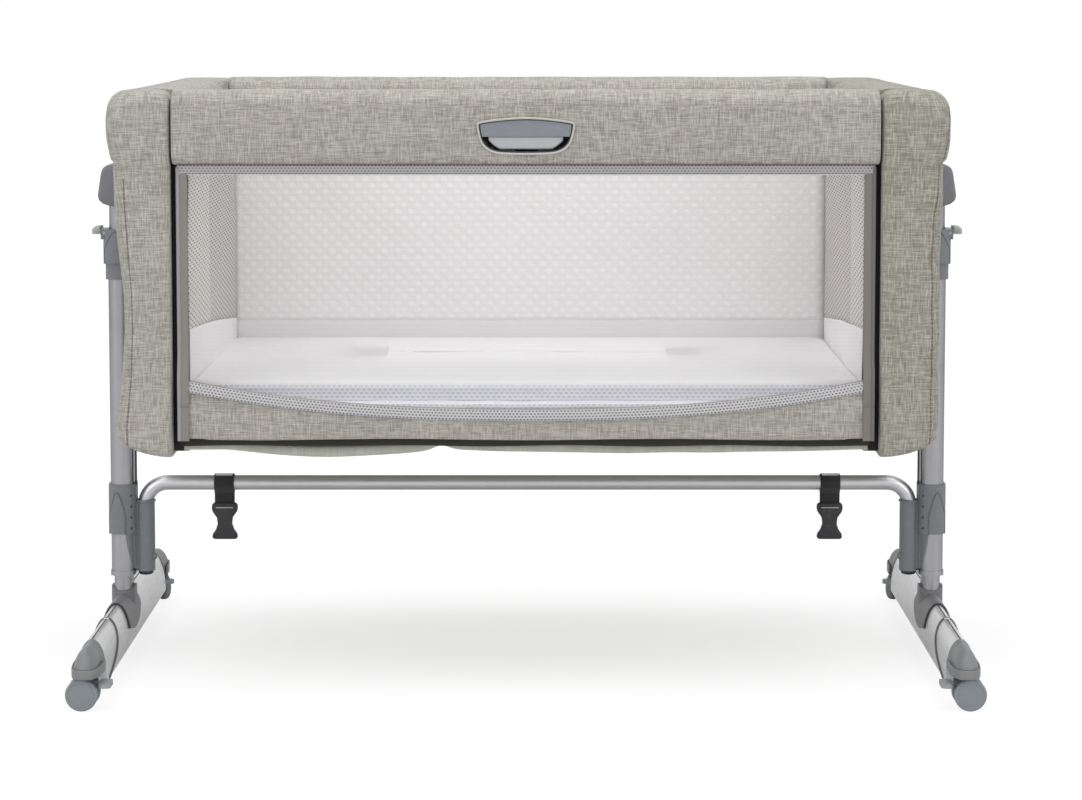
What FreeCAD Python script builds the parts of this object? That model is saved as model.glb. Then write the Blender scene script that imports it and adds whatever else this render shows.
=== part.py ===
import FreeCAD, Part
import math
import os

# A bedside sleeper crib: a padded crib body with a front side that drops,
# carried by two telescopic legs on castored feet that a low crossbar joins.
# Millimetres, +X to the right, +Y to the back, +Z up, floor at zero.
# The origin lies on the floor under the middle of the crib.

# ---------------------------------------------------------------- stand sizes
leg_spacing = 996.0          # between the centrelines of the two legs
beam_length = 524.0          # straight part of a foot, front to back
beam_width = 33.0            # foot section at its base
beam_height = 50.0           # foot section, base to ridge
beam_floor_gap = 22.0        # under the foot
beam_wall = 2.0
toe_length = 68.0            # rounded end of a foot
toe_nose_width = 17.0
toe_nose_height = 12.0
toe_recess = 3.0             # between the top of a wheel and the toe
# share of the toe's length, then how much width and height is left there
toe_stations = ((0.0, 1.0, 1.0), (0.5, 0.95, 0.93), (0.82, 0.78, 0.66), (1.0, 0.0, 0.0))

saddle_reach = 72.0          # plastic saddle on the foot, ahead of the leg
saddle_heel = 32.0           # the same behind the leg
saddle_wall = 3.5
saddle_boss_rise = 12.0      # collar above the ridge of the foot
saddle_boss_arch = 29.0      # radius of the collar's top, seen from the side
saddle_shoulder_drop = 12.0  # where the collar starts, below the ridge
saddle_lap_front = 22.0      # lower edge above the foot's base, at its front end
saddle_lap_middle = 17.0     # the same where it hangs lowest
saddle_lap_heel = 34.0       # the same at its back end

stub_width = 22.0            # inner tube that stands in the foot
stub_depth = 33.0
stub_corner = 9.0
stub_root = 32.0             # how deep it goes in below the ridge
stub_overlap = 100.0         # how far it reaches up inside the leg tube
leg_width = 28.0             # lower leg tube
leg_depth = 40.0
leg_corner = 12.0
leg_wall = 1.6
leg_foot_gap = 13.0          # bare stub between saddle and leg tube
leg_rim_height = 6.0
leg_rim_wall = 1.2

riser_clearance = 0.4        # sliding tube inside the leg tube
riser_wall = 1.5
riser_grip = 125.0           # left inside the leg tube at full height
riser_bush_clearance = 0.1
riser_show = 29.0            # bare riser between the height collar and the body's hub
height_travel = 125.0

collar_height = 42.0         # upper, wider part of the height collar
collar_wall = 5.5
collar_skirt_height = 19.0   # lower, narrower part
collar_skirt_wall = 3.0
collar_bush_height = 12.0    # bush above the end of the leg tube
lever_reach = 16.0           # from its hinge to its tip
lever_width = 28.0
lever_thickness = 6.0
lever_barrel = 8.0
lever_pin = 4.0
lever_pin_clearance = 0.05
lever_ear = 4.0
lever_side_gap = 0.3

bar_diameter = 18.0          # bent crossbar between the legs
bar_wall = 1.5
bar_height = 210.0
bar_bend = 28.0
bar_leg_inset = 27.0         # its upright ends, inward of the legs
bar_leg_drop = 106.0         # below its own centreline
bracket_height = 61.0        # collar of the crossbar bracket on the leg
bracket_wall = 2.8
bracket_socket_diameter = 23.0
bracket_socket_top = 21.0    # below the crossbar's centreline
bracket_socket_floor = 3.0
bracket_web = 16.0           # thickness of the web between collar and socket
bracket_rim_gap = 1.0        # between the web and the rim of the leg tube
screw_head = 7.0
screw_head_height = 2.0
screw_shank = 4.0
screw_length = 2.4
screw_count = 3
screw_pitch = 17.0

# -------------------------------------------------------------- caster sizes
wheel_diameter = 37.0
wheel_thickness = 8.0
wheel_gap = 14.0             # between the two wheels of a caster
wheel_side_gap = 0.5
caster_trail = 5.0           # axle behind the swivel axis
caster_setback = 30.0        # swivel axis behind the nose of the foot
caster_axle = 5.0
caster_stem = 8.0
caster_stem_length = 22.0    # part pressed into the toe
caster_stem_flange = 13.0
caster_stem_flange_height = 1.2
caster_stem_tip_gap = 1.5    # between stem and axle
caster_hood_diameter = 30.0
caster_running_gap = 0.3
caster_fit = 0.05
pedal_pivot_reach = 9.0      # pedal hinge ahead of the swivel axis
pedal_pivot_height = 29.0
pedal_reach = 28.0
pedal_width = 30.0
pedal_thickness = 5.0
pedal_tab_length = 14.0
pedal_arm_width = 6.0
pedal_barrel = 6.0
pedal_pin = 3.0
rear_caster_turn = -59.0     # degrees, the way the rear pedals point
front_caster_turn = 0.0

# --------------------------------------------------------------- strap sizes
strap_spacing = 746.0        # between the two hanging straps
strap_width = 25.0
strap_thickness = 1.7
strap_gap = 0.3              # around the crossbar
strap_drop = 34.0            # from the crossbar's centre to the end of the webbing
buckle_width = 32.0
buckle_height = 44.0
buckle_thickness = 13.0
buckle_waist = 17.6
buckle_shoulder = 9.0        # straight part of each side above and below the waist
buckle_grip = 8.0            # webbing that lies in the buckle
buckle_mouth_width = 13.0
buckle_mouth_height = 6.0
buckle_mouth_depth = 24.0

# ----------------------------------------------------------- crib body sizes
body_length = 922.0          # over the outer walls, left to right
body_depth = 570.0           # front to back
body_bottom = 286.0
rim_height = 701.0           # top of the padded rim
roll_height = 84.0
roll_overhang = 16.0         # the rim stands out over the end walls
roll_tuck = 11.0             # below the roll, where it meets the wall
side_wall = 74.0
back_wall = 77.0
lining = 5.0                 # skin on each side of a hollow wall
soft_gap = 0.3               # between soft pieces and what they lie on
roll_outer_round = 30.0
roll_inner_round = 18.0
hem_flare = 5.0
hem_round = 26.0
hem_height = 30.0

frame_tube = 19.0            # round steel tube of the rim and base frames
frame_wall = 1.5
frame_inset = 30.0           # frame tube centres, inward of the end walls
frame_back_inset = 35.0
frame_bend = 40.0
rim_tube_drop = 29.0         # its centre below the top of the rim
base_tube_height = 322.0
rear_strut_setback = 210.0   # rear struts behind the middle of the crib
sleeve_diameter = 26.0       # sleeve of the rim frame on a guide post
sleeve_height = 22.0
sleeve_roof = 3.0

hub_height = 50.0            # plastic cover where a riser meets the body
hub_depth = 54.0
hub_outer_reach = 27.0       # outward of the leg's centreline
hub_wall_gap = 3.0           # under the padded rim
hub_roof = 13.0
hub_belly = 17.0             # height of its widest point above its underside
hub_chin = 3.0               # rounding under the widest point: inward and up
hub_chin_rise = 5.0
hub_brow = 2.6               # rounding over the widest point: inward and up
hub_brow_rise = 36.0
hub_bolt = 10.0
hub_bolt_rise = 25.0
hub_bolt_head = 17.0
hub_bolt_head_height = 5.0
hub_fit = 0.2

board_thickness = 6.0
board_side_gap = 1.0
board_front_bearing = 4.0    # how far the board reaches over the front tube's middle
mattress_thickness = 30.0
mattress_crown = 6.0
mattress_draw_in = 4.0
mattress_gap = 2.0
mattress_front_gap = 1.0
mattress_edge_crown = 0.9    # rise of the top that is left at its two ends
# share of the half length, then the share of the crown there
mattress_stations = ((-1.0, 0.0), (-0.55, 0.8), (0.0, 1.0), (0.55, 0.8), (1.0, 0.0))

# ------------------------------------------------------------ drop side sizes
rail_depth = 46.0
rail_end_gap = 2.5
rail_round = 16.0
rail_foot_round = 8.0
post_face = 60.0             # padded front post, measured along the front
rail_tube = 16.0
rail_tube_wall = 1.4
rail_tube_setback = 33.0     # its centre, and the guide post's, behind the front
slider_width = 36.0
slider_height = 38.0
slider_socket = 5.0
slider_top_gap = 2.0         # under the sleeve of the rim frame
slide_fit = 0.08
pocket_gap = 2.5
pocket_outer_skin = 8.0
folded_mesh = 40.0           # left between rail and band when the side is down
latch_tip = 7.0
latch_tip_length = 19.5
latch_body_length = 20.0
latch_engagement = 3.0       # how far the tip reaches into the guide post
latch_slot_gap = 0.5

handle_width = 106.0
handle_height = 42.0
handle_sill = 14.0           # above the underside of the rail
handle_depth = 24.5
handle_stand_out = 2.0
handle_wall = 3.5
handle_arch = 8.0            # rise of the arched top
handle_flat = 60.0           # width of the flat bottom
handle_flank = 7.0           # how far each flank swells past a straight line
grip_length = 84.0
grip_height = 15.0
grip_thickness = 18.0
grip_gap = 0.5
grip_round = 2.5             # on the grip's front edges

panel_thickness = 4.0
panel_setback = 8.0          # mesh panel behind the front
panel_side_gap = 11.0        # dark slot between panel and post
band_thickness = 8.0
band_setback = 5.0
band_bottom = 306.0
band_side_top = 377.0
band_middle_top = 342.0
band_hem_height = 28.0

sling_thickness = 4.0        # hanging cloth under the base
sling_sag = 20.0
sling_back_sag = 8.0
sling_pinch = 100.0          # where the cloth is gathered up, left of the middle
sling_pinch_rise = 13.0
sling_right_bay = 0.8        # depth of the right bay against the left one
# share of the way from front to back, then the share of the front's extra sag
sling_stations = ((0.0, 1.0), (0.33, 0.85), (0.75, 0.6), (1.0, 0.0))

# --------------------------------------------------------- places worked out
leg_x = leg_spacing / 2
beam_end = beam_length / 2
beam_top = beam_floor_gap + beam_height
toe_bottom = wheel_diameter + toe_recess
caster_y = beam_end + toe_length - caster_setback
roll_bottom = rim_height - roll_height
rim_tube_height = rim_height - rim_tube_drop
rail_tube_height = rim_tube_height - sleeve_height / 2 - slider_top_gap - slider_height / 2
drop_travel = roll_bottom - band_side_top - folded_mesh
hub_bottom = roll_bottom - roll_tuck - hub_wall_gap - hub_height
collar_top = hub_bottom - riser_show
leg_top = collar_top - collar_bush_height
leg_bottom = beam_top + saddle_boss_rise + leg_foot_gap
riser_width = leg_width - 2 * (leg_wall + riser_clearance)
riser_depth = leg_depth - 2 * (leg_wall + riser_clearance)
riser_corner = leg_corner - leg_wall - riser_clearance
riser_top = hub_bottom + hub_height - hub_roof
collar_step = collar_top - collar_height
bar_x = leg_x - bar_leg_inset
bar_end = bar_height - bar_leg_drop
strap_x = strap_spacing / 2
body_x = body_length / 2
roll_x = body_x + roll_overhang
body_y = body_depth / 2
inner_x = body_x - side_wall
inner_y = body_y - back_wall
frame_x = body_x - frame_inset
frame_y = body_y - frame_back_inset
tube_r = frame_tube / 2
base_top = base_tube_height + tube_r
base_under = base_tube_height - tube_r
board_bottom = base_top + soft_gap
board_top = board_bottom + board_thickness
mattress_bottom = board_top + soft_gap
guide_y = -body_y + rail_tube_setback
post_x = body_x - post_face
rail_x = post_x - rail_end_gap
rail_back = -body_y + rail_depth
guide_top = rim_tube_height + sleeve_height / 2 - sleeve_roof
handle_bottom = roll_bottom + handle_sill
handle_front = -body_y - handle_stand_out
panel_x = post_x - panel_side_gap
band_x = panel_x
latch_face_x = frame_x - tube_r
bolt_z = hub_bottom + hub_bolt_rise

V = FreeCAD.Vector
X_AXIS = V(1, 0, 0)
Y_AXIS = V(0, 1, 0)
Z_AXIS = V(0, 0, 1)
ORIGIN = V(0, 0, 0)
sharp_join = 2               # FreeCAD's number for an offset that keeps sharp corners


# ------------------------------------------------------------------- helpers
def block(x0, x1, y0, y1, z0, z1):
    """A box between two corners."""
    return Part.makeBox(x1 - x0, y1 - y0, z1 - z0, V(x0, y0, z0))


def rod(radius, start, end):
    """A round bar from one point to another."""
    axis = end.sub(start)
    return Part.makeCylinder(radius, axis.Length, start, axis)


def upright(width, depth, corner, x, y, z0, z1):
    """An upright bar with rounded corners, centred on x and y."""
    bar = block(x - width / 2, x + width / 2, y - depth / 2, y + depth / 2, z0, z1)
    edges = [e for e in bar.Edges if abs(e.tangentAt(e.FirstParameter).z) > 0.99]
    return bar.makeFillet(corner, edges)


def outline(points, bulges):
    """A closed wire through (a, b) points in the XZ plane.

    bulges maps an edge's number to the (a, b) point its arc passes through.
    """
    corners = [V(a, 0, b) for a, b in points]
    edges = []
    for i, start in enumerate(corners):
        end = corners[(i + 1) % len(corners)]
        if i in bulges:
            a, b = bulges[i]
            edges.append(Part.Arc(start, V(a, 0, b), end).toShape())
        else:
            edges.append(Part.LineSegment(start, end).toShape())
    return Part.Wire(edges)


def round_corner(corner, radius, toward_a, toward_b):
    """Start, middle and end of a quarter round at a square corner."""
    a, b = corner
    away = radius * (1 - math.sqrt(0.5))
    first = (a + toward_a * radius, b)
    middle = (a + toward_a * away, b + toward_b * away)
    last = (a, b + toward_b * radius)
    return first, middle, last


def along_y(wire, y0, y1):
    """Extrude an XZ outline from y0 to y1."""
    face = Part.Face(wire)
    face.translate(V(0, y0, 0))
    return face.extrude(V(0, y1 - y0, 0))


def along_x(wire, x0, x1):
    """Extrude an outline drawn in XZ as (y, z), from x0 to x1."""
    solid = along_y(wire, -x1, -x0)
    solid.rotate(ORIGIN, Z_AXIS, 90)
    return solid


def pipe(points, bend, radius):
    """A round bar along straight runs with tangent bends at the inner points."""
    edges = []
    start = points[0]
    for before, corner, after in zip(points, points[1:], points[2:]):
        back = before.sub(corner).normalize()
        ahead = after.sub(corner).normalize()
        half = math.acos(max(-1.0, min(1.0, back.dot(ahead)))) / 2
        reach = bend / math.tan(half)
        enter = corner.add(V(back).multiply(reach))
        leave = corner.add(V(ahead).multiply(reach))
        centre_way = back.add(ahead).normalize()
        centre = corner.add(V(centre_way).multiply(bend / math.sin(half)))
        middle = centre.sub(V(centre_way).multiply(bend))
        edges.append(Part.LineSegment(start, enter).toShape())
        edges.append(Part.Arc(enter, middle, leave).toShape())
        start = leave
    edges.append(Part.LineSegment(start, points[-1]).toShape())
    way = points[1].sub(points[0])
    ring = Part.Wire(Part.makeCircle(radius, points[0], way))
    return Part.Wire(edges).makePipeShell([ring], True, False)


def fuse(shapes):
    """Join shapes into one solid with clean faces."""
    return shapes[0].multiFuse(shapes[1:]).removeSplitter()


def mirrored(shape):
    """The same piece on the other side."""
    return shape.mirror(ORIGIN, X_AXIS)


def one_solid(shape):
    """The single solid inside a shape."""
    solids = shape.Solids
    if len(solids) != 1:
        raise ValueError("expected one solid, found %d" % len(solids))
    return solids[0]


# --------------------------------------------------------------------- stand
def arch_section(half_width, base, ridge):
    """Flat-based arch outline: half an ellipse on its two feet."""
    height = ridge - base
    curve = Part.Ellipse(ORIGIN, height, half_width)
    half = curve.toShape(-math.pi / 2, math.pi / 2)
    half.rotate(ORIGIN, Y_AXIS, -90)
    half.rotate(ORIGIN, Z_AXIS, 90)
    half.translate(V(0, 0, base))
    ends = [v.Point for v in half.Vertexes]
    return Part.Wire([half, Part.LineSegment(ends[1], ends[0]).toShape()])


def stub():
    """Inner tube that stands in the foot and carries the leg tube."""
    z0 = beam_top - stub_root
    z1 = leg_bottom + stub_overlap
    outer = upright(stub_width, stub_depth, stub_corner, leg_x, 0, z0, z1)
    bore = upright(stub_width - 2 * leg_wall, stub_depth - 2 * leg_wall,
                   stub_corner - leg_wall, leg_x, 0, z0, z1)
    return outer.cut(bore)


def stub_space():
    """The room that the stub takes in the foot and its saddle."""
    return upright(stub_width, stub_depth, stub_corner, leg_x, 0,
                   beam_top - stub_root, leg_bottom)


def foot_beam():
    """Arched hollow foot, closed at both ends."""
    outer = along_y(arch_section(beam_width / 2, beam_floor_gap, beam_top), -beam_end, beam_end)
    inner = along_y(arch_section(beam_width / 2 - beam_wall, beam_floor_gap + beam_wall,
                                 beam_top - beam_wall), -beam_end + beam_wall, beam_end - beam_wall)
    inner.translate(V(leg_x, 0, 0))
    outer.translate(V(leg_x, 0, 0))
    return outer.cut(inner).cut(stub_space())


def toe_cap():
    """Rounded end of the foot at +X, +Y, with the hole for the caster stem."""
    share = (toe_bottom - beam_floor_gap) / beam_height
    root_half = beam_width / 2 * math.sqrt(1 - share * share)
    rings = []
    for along, wide, tall in toe_stations:
        half = toe_nose_width / 2 + (root_half - toe_nose_width / 2) * wide
        height = toe_nose_height + (beam_top - toe_bottom - toe_nose_height) * tall
        ring = arch_section(half, toe_bottom, toe_bottom + height)
        ring.translate(V(leg_x, beam_end + toe_length * along, 0))
        rings.append(ring)
    cap = Part.makeLoft(rings, True, False)
    hole = rod(caster_stem / 2, V(leg_x, caster_y, toe_bottom),
               V(leg_x, caster_y, toe_bottom + caster_stem_length))
    return cap.cut(hole)


def leg_saddle():
    """Saddle that laps down both flanks, with a collar round the stub."""
    skin = along_y(arch_section(beam_width / 2 + saddle_wall, beam_floor_gap,
                                beam_top + saddle_wall), -saddle_reach, saddle_heel)
    top = beam_top + saddle_boss_rise
    front_lap = beam_floor_gap + saddle_lap_front
    heel_lap = beam_floor_gap + saddle_lap_heel
    lowest = beam_floor_gap + saddle_lap_middle
    side = outline([(-saddle_reach, top), (-saddle_reach, front_lap),
                    (saddle_heel, heel_lap), (saddle_heel, top)],
                   {1: (-stub_depth / 2, lowest)})
    flanks = skin.common(along_x(side, -beam_width, beam_width))
    flanks.translate(V(leg_x, 0, 0))
    boss = upright(stub_width + 2 * saddle_wall, stub_depth + 2 * saddle_wall,
                   stub_corner + saddle_wall, leg_x, 0, beam_top - saddle_shoulder_drop, top)
    arch = rod(saddle_boss_arch, V(leg_x - beam_width, 0, top - saddle_boss_arch),
               V(leg_x + beam_width, 0, top - saddle_boss_arch))
    foot = along_y(arch_section(beam_width / 2, beam_floor_gap, beam_top), -beam_end, beam_end)
    foot.translate(V(leg_x, 0, 0))
    return fuse([flanks, boss.common(arch)]).cut(foot).cut(stub_space())


def leg_tube():
    """Lower leg tube with a rim that closes on the stub."""
    outer = upright(leg_width, leg_depth, leg_corner, leg_x, 0, leg_bottom, leg_top)
    rim = upright(leg_width + 2 * leg_rim_wall, leg_depth + 2 * leg_rim_wall,
                  leg_corner + leg_rim_wall, leg_x, 0, leg_bottom, leg_bottom + leg_rim_height)
    bore = upright(leg_width - 2 * leg_wall, leg_depth - 2 * leg_wall, leg_corner - leg_wall,
                   leg_x, 0, leg_bottom + leg_rim_height, leg_top)
    seat = upright(stub_width, stub_depth, stub_corner, leg_x, 0,
                   leg_bottom, leg_bottom + leg_rim_height)
    return fuse([outer, rim]).cut(bore).cut(seat)


def lever_axis_x():
    """How far out the hinge of the height lever lies."""
    return leg_x + leg_width / 2 + lever_barrel / 2 - leg_wall / 2


def height_collar():
    """Stepped collar on top of the leg tube, with ears for the lever."""
    z0 = collar_step - collar_skirt_height
    upper = upright(leg_width + 2 * collar_wall, leg_depth + 2 * collar_wall,
                    leg_corner + collar_wall, leg_x, 0, collar_step, collar_top)
    skirt = upright(leg_width + 2 * collar_skirt_wall, leg_depth + 2 * collar_skirt_wall,
                    leg_corner + collar_skirt_wall, leg_x, 0, z0, collar_step)
    hinge_x = lever_axis_x()
    hinge_z = collar_top - lever_barrel / 2
    ear_y = lever_width / 2 + lever_side_gap
    ears = [block(hinge_x - lever_barrel / 2, hinge_x + lever_barrel / 2, y, y + lever_ear,
                  hinge_z - lever_barrel, hinge_z + lever_barrel / 2)
            for y in (-ear_y - lever_ear, ear_y)]
    seat = upright(leg_width, leg_depth, leg_corner, leg_x, 0, z0, leg_top)
    bush = upright(riser_width + 2 * riser_bush_clearance, riser_depth + 2 * riser_bush_clearance,
                   riser_corner + riser_bush_clearance, leg_x, 0, leg_top, collar_top)
    notch_r = lever_barrel / 2 + lever_side_gap
    notch = block(hinge_x - notch_r, hinge_x + leg_width, -ear_y, ear_y,
                  hinge_z - notch_r, collar_top)
    pin_hole = rod(lever_pin / 2 + lever_pin_clearance, V(hinge_x, -leg_depth, hinge_z),
                   V(hinge_x, leg_depth, hinge_z))
    return fuse([upper, skirt] + ears).cut(seat).cut(bush).cut(notch).cut(pin_hole)


def height_lever():
    """Squeeze lever: barrel on two stub pins, and a flat paddle outward."""
    hinge_x = lever_axis_x()
    hinge_z = collar_top - lever_barrel / 2
    half = lever_width / 2
    barrel = rod(lever_barrel / 2, V(hinge_x, -half, hinge_z), V(hinge_x, half, hinge_z))
    pin_y = half + lever_side_gap + lever_ear
    pin = rod(lever_pin / 2, V(hinge_x, -pin_y, hinge_z), V(hinge_x, pin_y, hinge_z))
    top = hinge_z + lever_barrel / 2
    paddle = upright(2 * lever_reach, lever_width, lever_thickness, hinge_x, 0,
                     top - lever_thickness, top)
    outer_half = block(hinge_x, hinge_x + lever_reach, -half, half, top - lever_thickness, top)
    return fuse([barrel, pin, paddle.common(outer_half)])


def crossbar_line():
    """Corner points of the crossbar, up one end, across and down the other."""
    return [V(-bar_x, 0, bar_end), V(-bar_x, 0, bar_height),
            V(bar_x, 0, bar_height), V(bar_x, 0, bar_end)]


def crossbar():
    """Bent round tube whose ends stand in the brackets."""
    outer = pipe(crossbar_line(), bar_bend, bar_diameter / 2)
    return outer.cut(pipe(crossbar_line(), bar_bend, bar_diameter / 2 - bar_wall))


def screw_heights():
    """Heights of the screws in one bracket."""
    middle = bar_height - bracket_height / 2
    return [middle + screw_pitch * (i - (screw_count - 1) / 2) for i in range(screw_count)]


def bracket_screws():
    """Screws in the back of the bracket's collar, into its wall."""
    back = leg_depth / 2 + bracket_wall
    screws = []
    for z in screw_heights():
        head = rod(screw_head / 2, V(leg_x, back, z), V(leg_x, back + screw_head_height, z))
        shank = rod(screw_shank / 2, V(leg_x, back - screw_length, z), V(leg_x, back, z))
        screws.append(fuse([head, shank]))
    return screws


def crossbar_bracket():
    """Collar on the leg tube joined to the socket that holds the crossbar."""
    top = bar_height
    socket_top = bar_height - bracket_socket_top
    collar = upright(leg_width + 2 * bracket_wall, leg_depth + 2 * bracket_wall,
                     leg_corner + bracket_wall, leg_x, 0, top - bracket_height, top)
    socket = rod(bracket_socket_diameter / 2, V(bar_x, 0, bar_end - bracket_socket_floor),
                 V(bar_x, 0, socket_top))
    web_low = leg_bottom + leg_rim_height + bracket_rim_gap
    web = block(bar_x, leg_x, -bracket_web / 2, bracket_web / 2, web_low, socket_top)
    leg_hole = upright(leg_width, leg_depth, leg_corner, leg_x, 0, 0, leg_top)
    bar_hole = rod(bar_diameter / 2, V(bar_x, 0, bar_end), V(bar_x, 0, socket_top))
    body = fuse([collar, socket, web]).cut(leg_hole).cut(bar_hole)
    for screw in bracket_screws():
        body = body.cut(screw)
    bend = pipe(crossbar_line(), bar_bend, bar_diameter / 2)
    return body.cut(bend)


def caster_stem_pin(x, y):
    """Steel stem pressed into the toe, with a thrust flange under it."""
    low = (wheel_diameter + caster_axle) / 2 + caster_stem_tip_gap
    pin = rod(caster_stem / 2, V(x, y, low), V(x, y, toe_bottom + caster_stem_length))
    flange = rod(caster_stem_flange / 2, V(x, y, toe_bottom - caster_stem_flange_height),
                 V(x, y, toe_bottom))
    return fuse([pin, flange])


# ------------------------------------------------------------------- casters
def hood_width():
    """Width of the hood between the wheels."""
    return wheel_gap - 2 * wheel_side_gap


def caster_hood():
    """Hood on its swivel axis: pedal toward +X, axle along Y."""
    half = hood_width() / 2
    axle_z = wheel_diameter / 2
    top = toe_bottom - caster_stem_flange_height - caster_running_gap
    disc = rod(caster_hood_diameter / 2, V(-caster_trail, -half, axle_z),
               V(-caster_trail, half, axle_z))
    tower = rod(caster_stem_flange / 2, V(0, 0, axle_z), V(0, 0, top))
    ear_half = pedal_thickness
    ears = block(0, pedal_pivot_reach + pedal_barrel / 2, -half, half,
                 pedal_pivot_height - ear_half, pedal_pivot_height + ear_half)
    low = (wheel_diameter + caster_axle) / 2 + caster_stem_tip_gap - caster_running_gap
    stem_hole = rod(caster_stem / 2 + caster_fit, V(0, 0, low), V(0, 0, top + beam_height))
    slot_x = pedal_pivot_reach - pedal_barrel / 2 - caster_running_gap
    slot_half = pedal_arm_width / 2 + caster_running_gap
    slot = block(slot_x, pedal_reach, -slot_half, slot_half, axle_z, top)
    pin_hole = rod(pedal_pin / 2 + caster_fit, V(pedal_pivot_reach, -half, pedal_pivot_height),
                   V(pedal_pivot_reach, half, pedal_pivot_height))
    axle_hole = rod(caster_axle / 2, V(-caster_trail, -half, axle_z),
                    V(-caster_trail, half, axle_z))
    return fuse([disc, tower, ears]).cut(stem_hole).cut(slot).cut(pin_hole).cut(axle_hole)


def caster_axle_rod():
    """Axle pressed through the hood, reaching into both wheels."""
    reach = wheel_gap / 2 + wheel_thickness - wheel_side_gap
    axle_z = wheel_diameter / 2
    return rod(caster_axle / 2, V(-caster_trail, -reach, axle_z), V(-caster_trail, reach, axle_z))


def caster_wheels():
    """Two solid wheels, blind-bored for the axle from their inner sides."""
    axle_z = wheel_diameter / 2
    wheels = []
    for side in (-1, 1):
        near = side * wheel_gap / 2
        far = side * (wheel_gap / 2 + wheel_thickness)
        wheel = rod(wheel_diameter / 2, V(-caster_trail, near, axle_z),
                    V(-caster_trail, far, axle_z))
        bore = rod(caster_axle / 2 + caster_fit, V(-caster_trail, near, axle_z),
                   V(-caster_trail, far - side * wheel_side_gap, axle_z))
        wheels.append(wheel.cut(bore))
    return wheels


def brake_pedal():
    """Brake pedal: barrel and pin in the hood, arm and wide tab ahead."""
    half = pedal_arm_width / 2
    z = pedal_pivot_height
    barrel = rod(pedal_barrel / 2, V(pedal_pivot_reach, -half, z), V(pedal_pivot_reach, half, z))
    pin_half = hood_width() / 2
    pin = rod(pedal_pin / 2, V(pedal_pivot_reach, -pin_half, z), V(pedal_pivot_reach, pin_half, z))
    low = z - pedal_thickness / 2
    high = z + pedal_thickness / 2
    arm = block(pedal_pivot_reach, pedal_reach - pedal_tab_length / 2, -half, half, low, high)
    tab = upright(pedal_tab_length, pedal_width, pedal_tab_length / 2 - caster_running_gap,
                  pedal_reach - pedal_tab_length / 2, 0, low, high)
    return fuse([barrel, pin, arm, tab])


# -------------------------------------------------------------------- straps
def bed_strap():
    """Webbing doubled round the crossbar and down into the buckle."""
    ring_r = bar_diameter / 2 + strap_gap
    half = strap_width / 2
    loop = rod(ring_r + strap_thickness, V(strap_x - half, 0, bar_height),
               V(strap_x + half, 0, bar_height))
    tail = block(strap_x - half, strap_x + half, -strap_thickness, strap_thickness,
                 bar_height - strap_drop, bar_height - ring_r)
    hole = rod(ring_r, V(strap_x - half, 0, bar_height), V(strap_x + half, 0, bar_height))
    return fuse([loop, tail]).cut(hole)


def strap_buckle():
    """Female half of a side-release buckle, drawn in at its waist."""
    top = bar_height - strap_drop + buckle_grip
    low = top - buckle_height
    half = buckle_width / 2
    waist = buckle_waist / 2
    middle = (top + low) / 2
    neck = top - buckle_shoulder
    foot = low + buckle_shoulder
    shape = outline([(-half, top), (-half, neck), (-half, foot), (-half, low),
                     (half, low), (half, foot), (half, neck), (half, top)],
                    {1: (-waist, middle), 5: (waist, middle)})
    body = along_y(shape, -buckle_thickness / 2, buckle_thickness / 2)
    body.translate(V(strap_x, 0, 0))
    mouth = block(strap_x - buckle_mouth_width / 2, strap_x + buckle_mouth_width / 2,
                  -buckle_mouth_height / 2, buckle_mouth_height / 2, low,
                  low + buckle_mouth_depth)
    return body.cut(mouth).cut(bed_strap())


# ---------------------------------------------------------------- crib frame
def riser_tube():
    """Inner tube that carries the body and slides in the leg tube."""
    z0 = leg_top - height_travel - riser_grip
    outer = upright(riser_width, riser_depth, riser_corner, leg_x, 0, z0, riser_top)
    bore = upright(riser_width - 2 * riser_wall, riser_depth - 2 * riser_wall,
                   riser_corner - riser_wall, leg_x, 0, z0, riser_top)
    return outer.cut(bore).cut(hub_bolt_shape(0))


def hub_bolt_shape(extra):
    """Bolt from the side strut out through wall and riser, or its clearance."""
    start = frame_x - tube_r
    seat = leg_x + riser_width / 2
    shank = rod(hub_bolt / 2 + extra, V(start, 0, bolt_z), V(seat + extra, 0, bolt_z))
    head = rod(hub_bolt_head / 2 + extra, V(seat, 0, bolt_z),
               V(seat + hub_bolt_head_height + extra, 0, bolt_z))
    return fuse([shank, head])


def hub_cover():
    """Plastic cover between the body's end wall and the head of the riser."""
    inner = body_x + soft_gap
    outer = leg_x + hub_outer_reach
    top = hub_bottom + hub_height
    shape = outline([(inner, hub_bottom), (outer - hub_roof, hub_bottom),
                     (outer, hub_bottom + hub_belly), (outer - hub_roof, top), (inner, top)],
                    {1: (outer - hub_chin, hub_bottom + hub_chin_rise),
                     2: (outer - hub_brow, hub_bottom + hub_brow_rise)})
    body = along_y(shape, -hub_depth / 2, hub_depth / 2)
    socket = upright(riser_width + 2 * hub_fit, riser_depth + 2 * hub_fit,
                     riser_corner + hub_fit, leg_x, 0, hub_bottom, riser_top + hub_fit)
    return body.cut(socket).cut(hub_bolt_shape(hub_fit))


def rim_line():
    """The rim tube from the left sleeve round the back to the right one."""
    start = guide_y + sleeve_diameter / 2 - frame_wall
    return [V(-frame_x, start, rim_tube_height), V(-frame_x, frame_y, rim_tube_height),
            V(frame_x, frame_y, rim_tube_height), V(frame_x, start, rim_tube_height)]


def strut_places():
    """Where the upright struts stand between base and rim tubes."""
    return [(side * frame_x, y) for side in (-1, 1) for y in (0, rear_strut_setback)]


def struts(radius, z0):
    """Upright struts as plain bars of the given radius."""
    return [rod(radius, V(x, y, z0), V(x, y, rim_tube_height)) for x, y in strut_places()]


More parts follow.
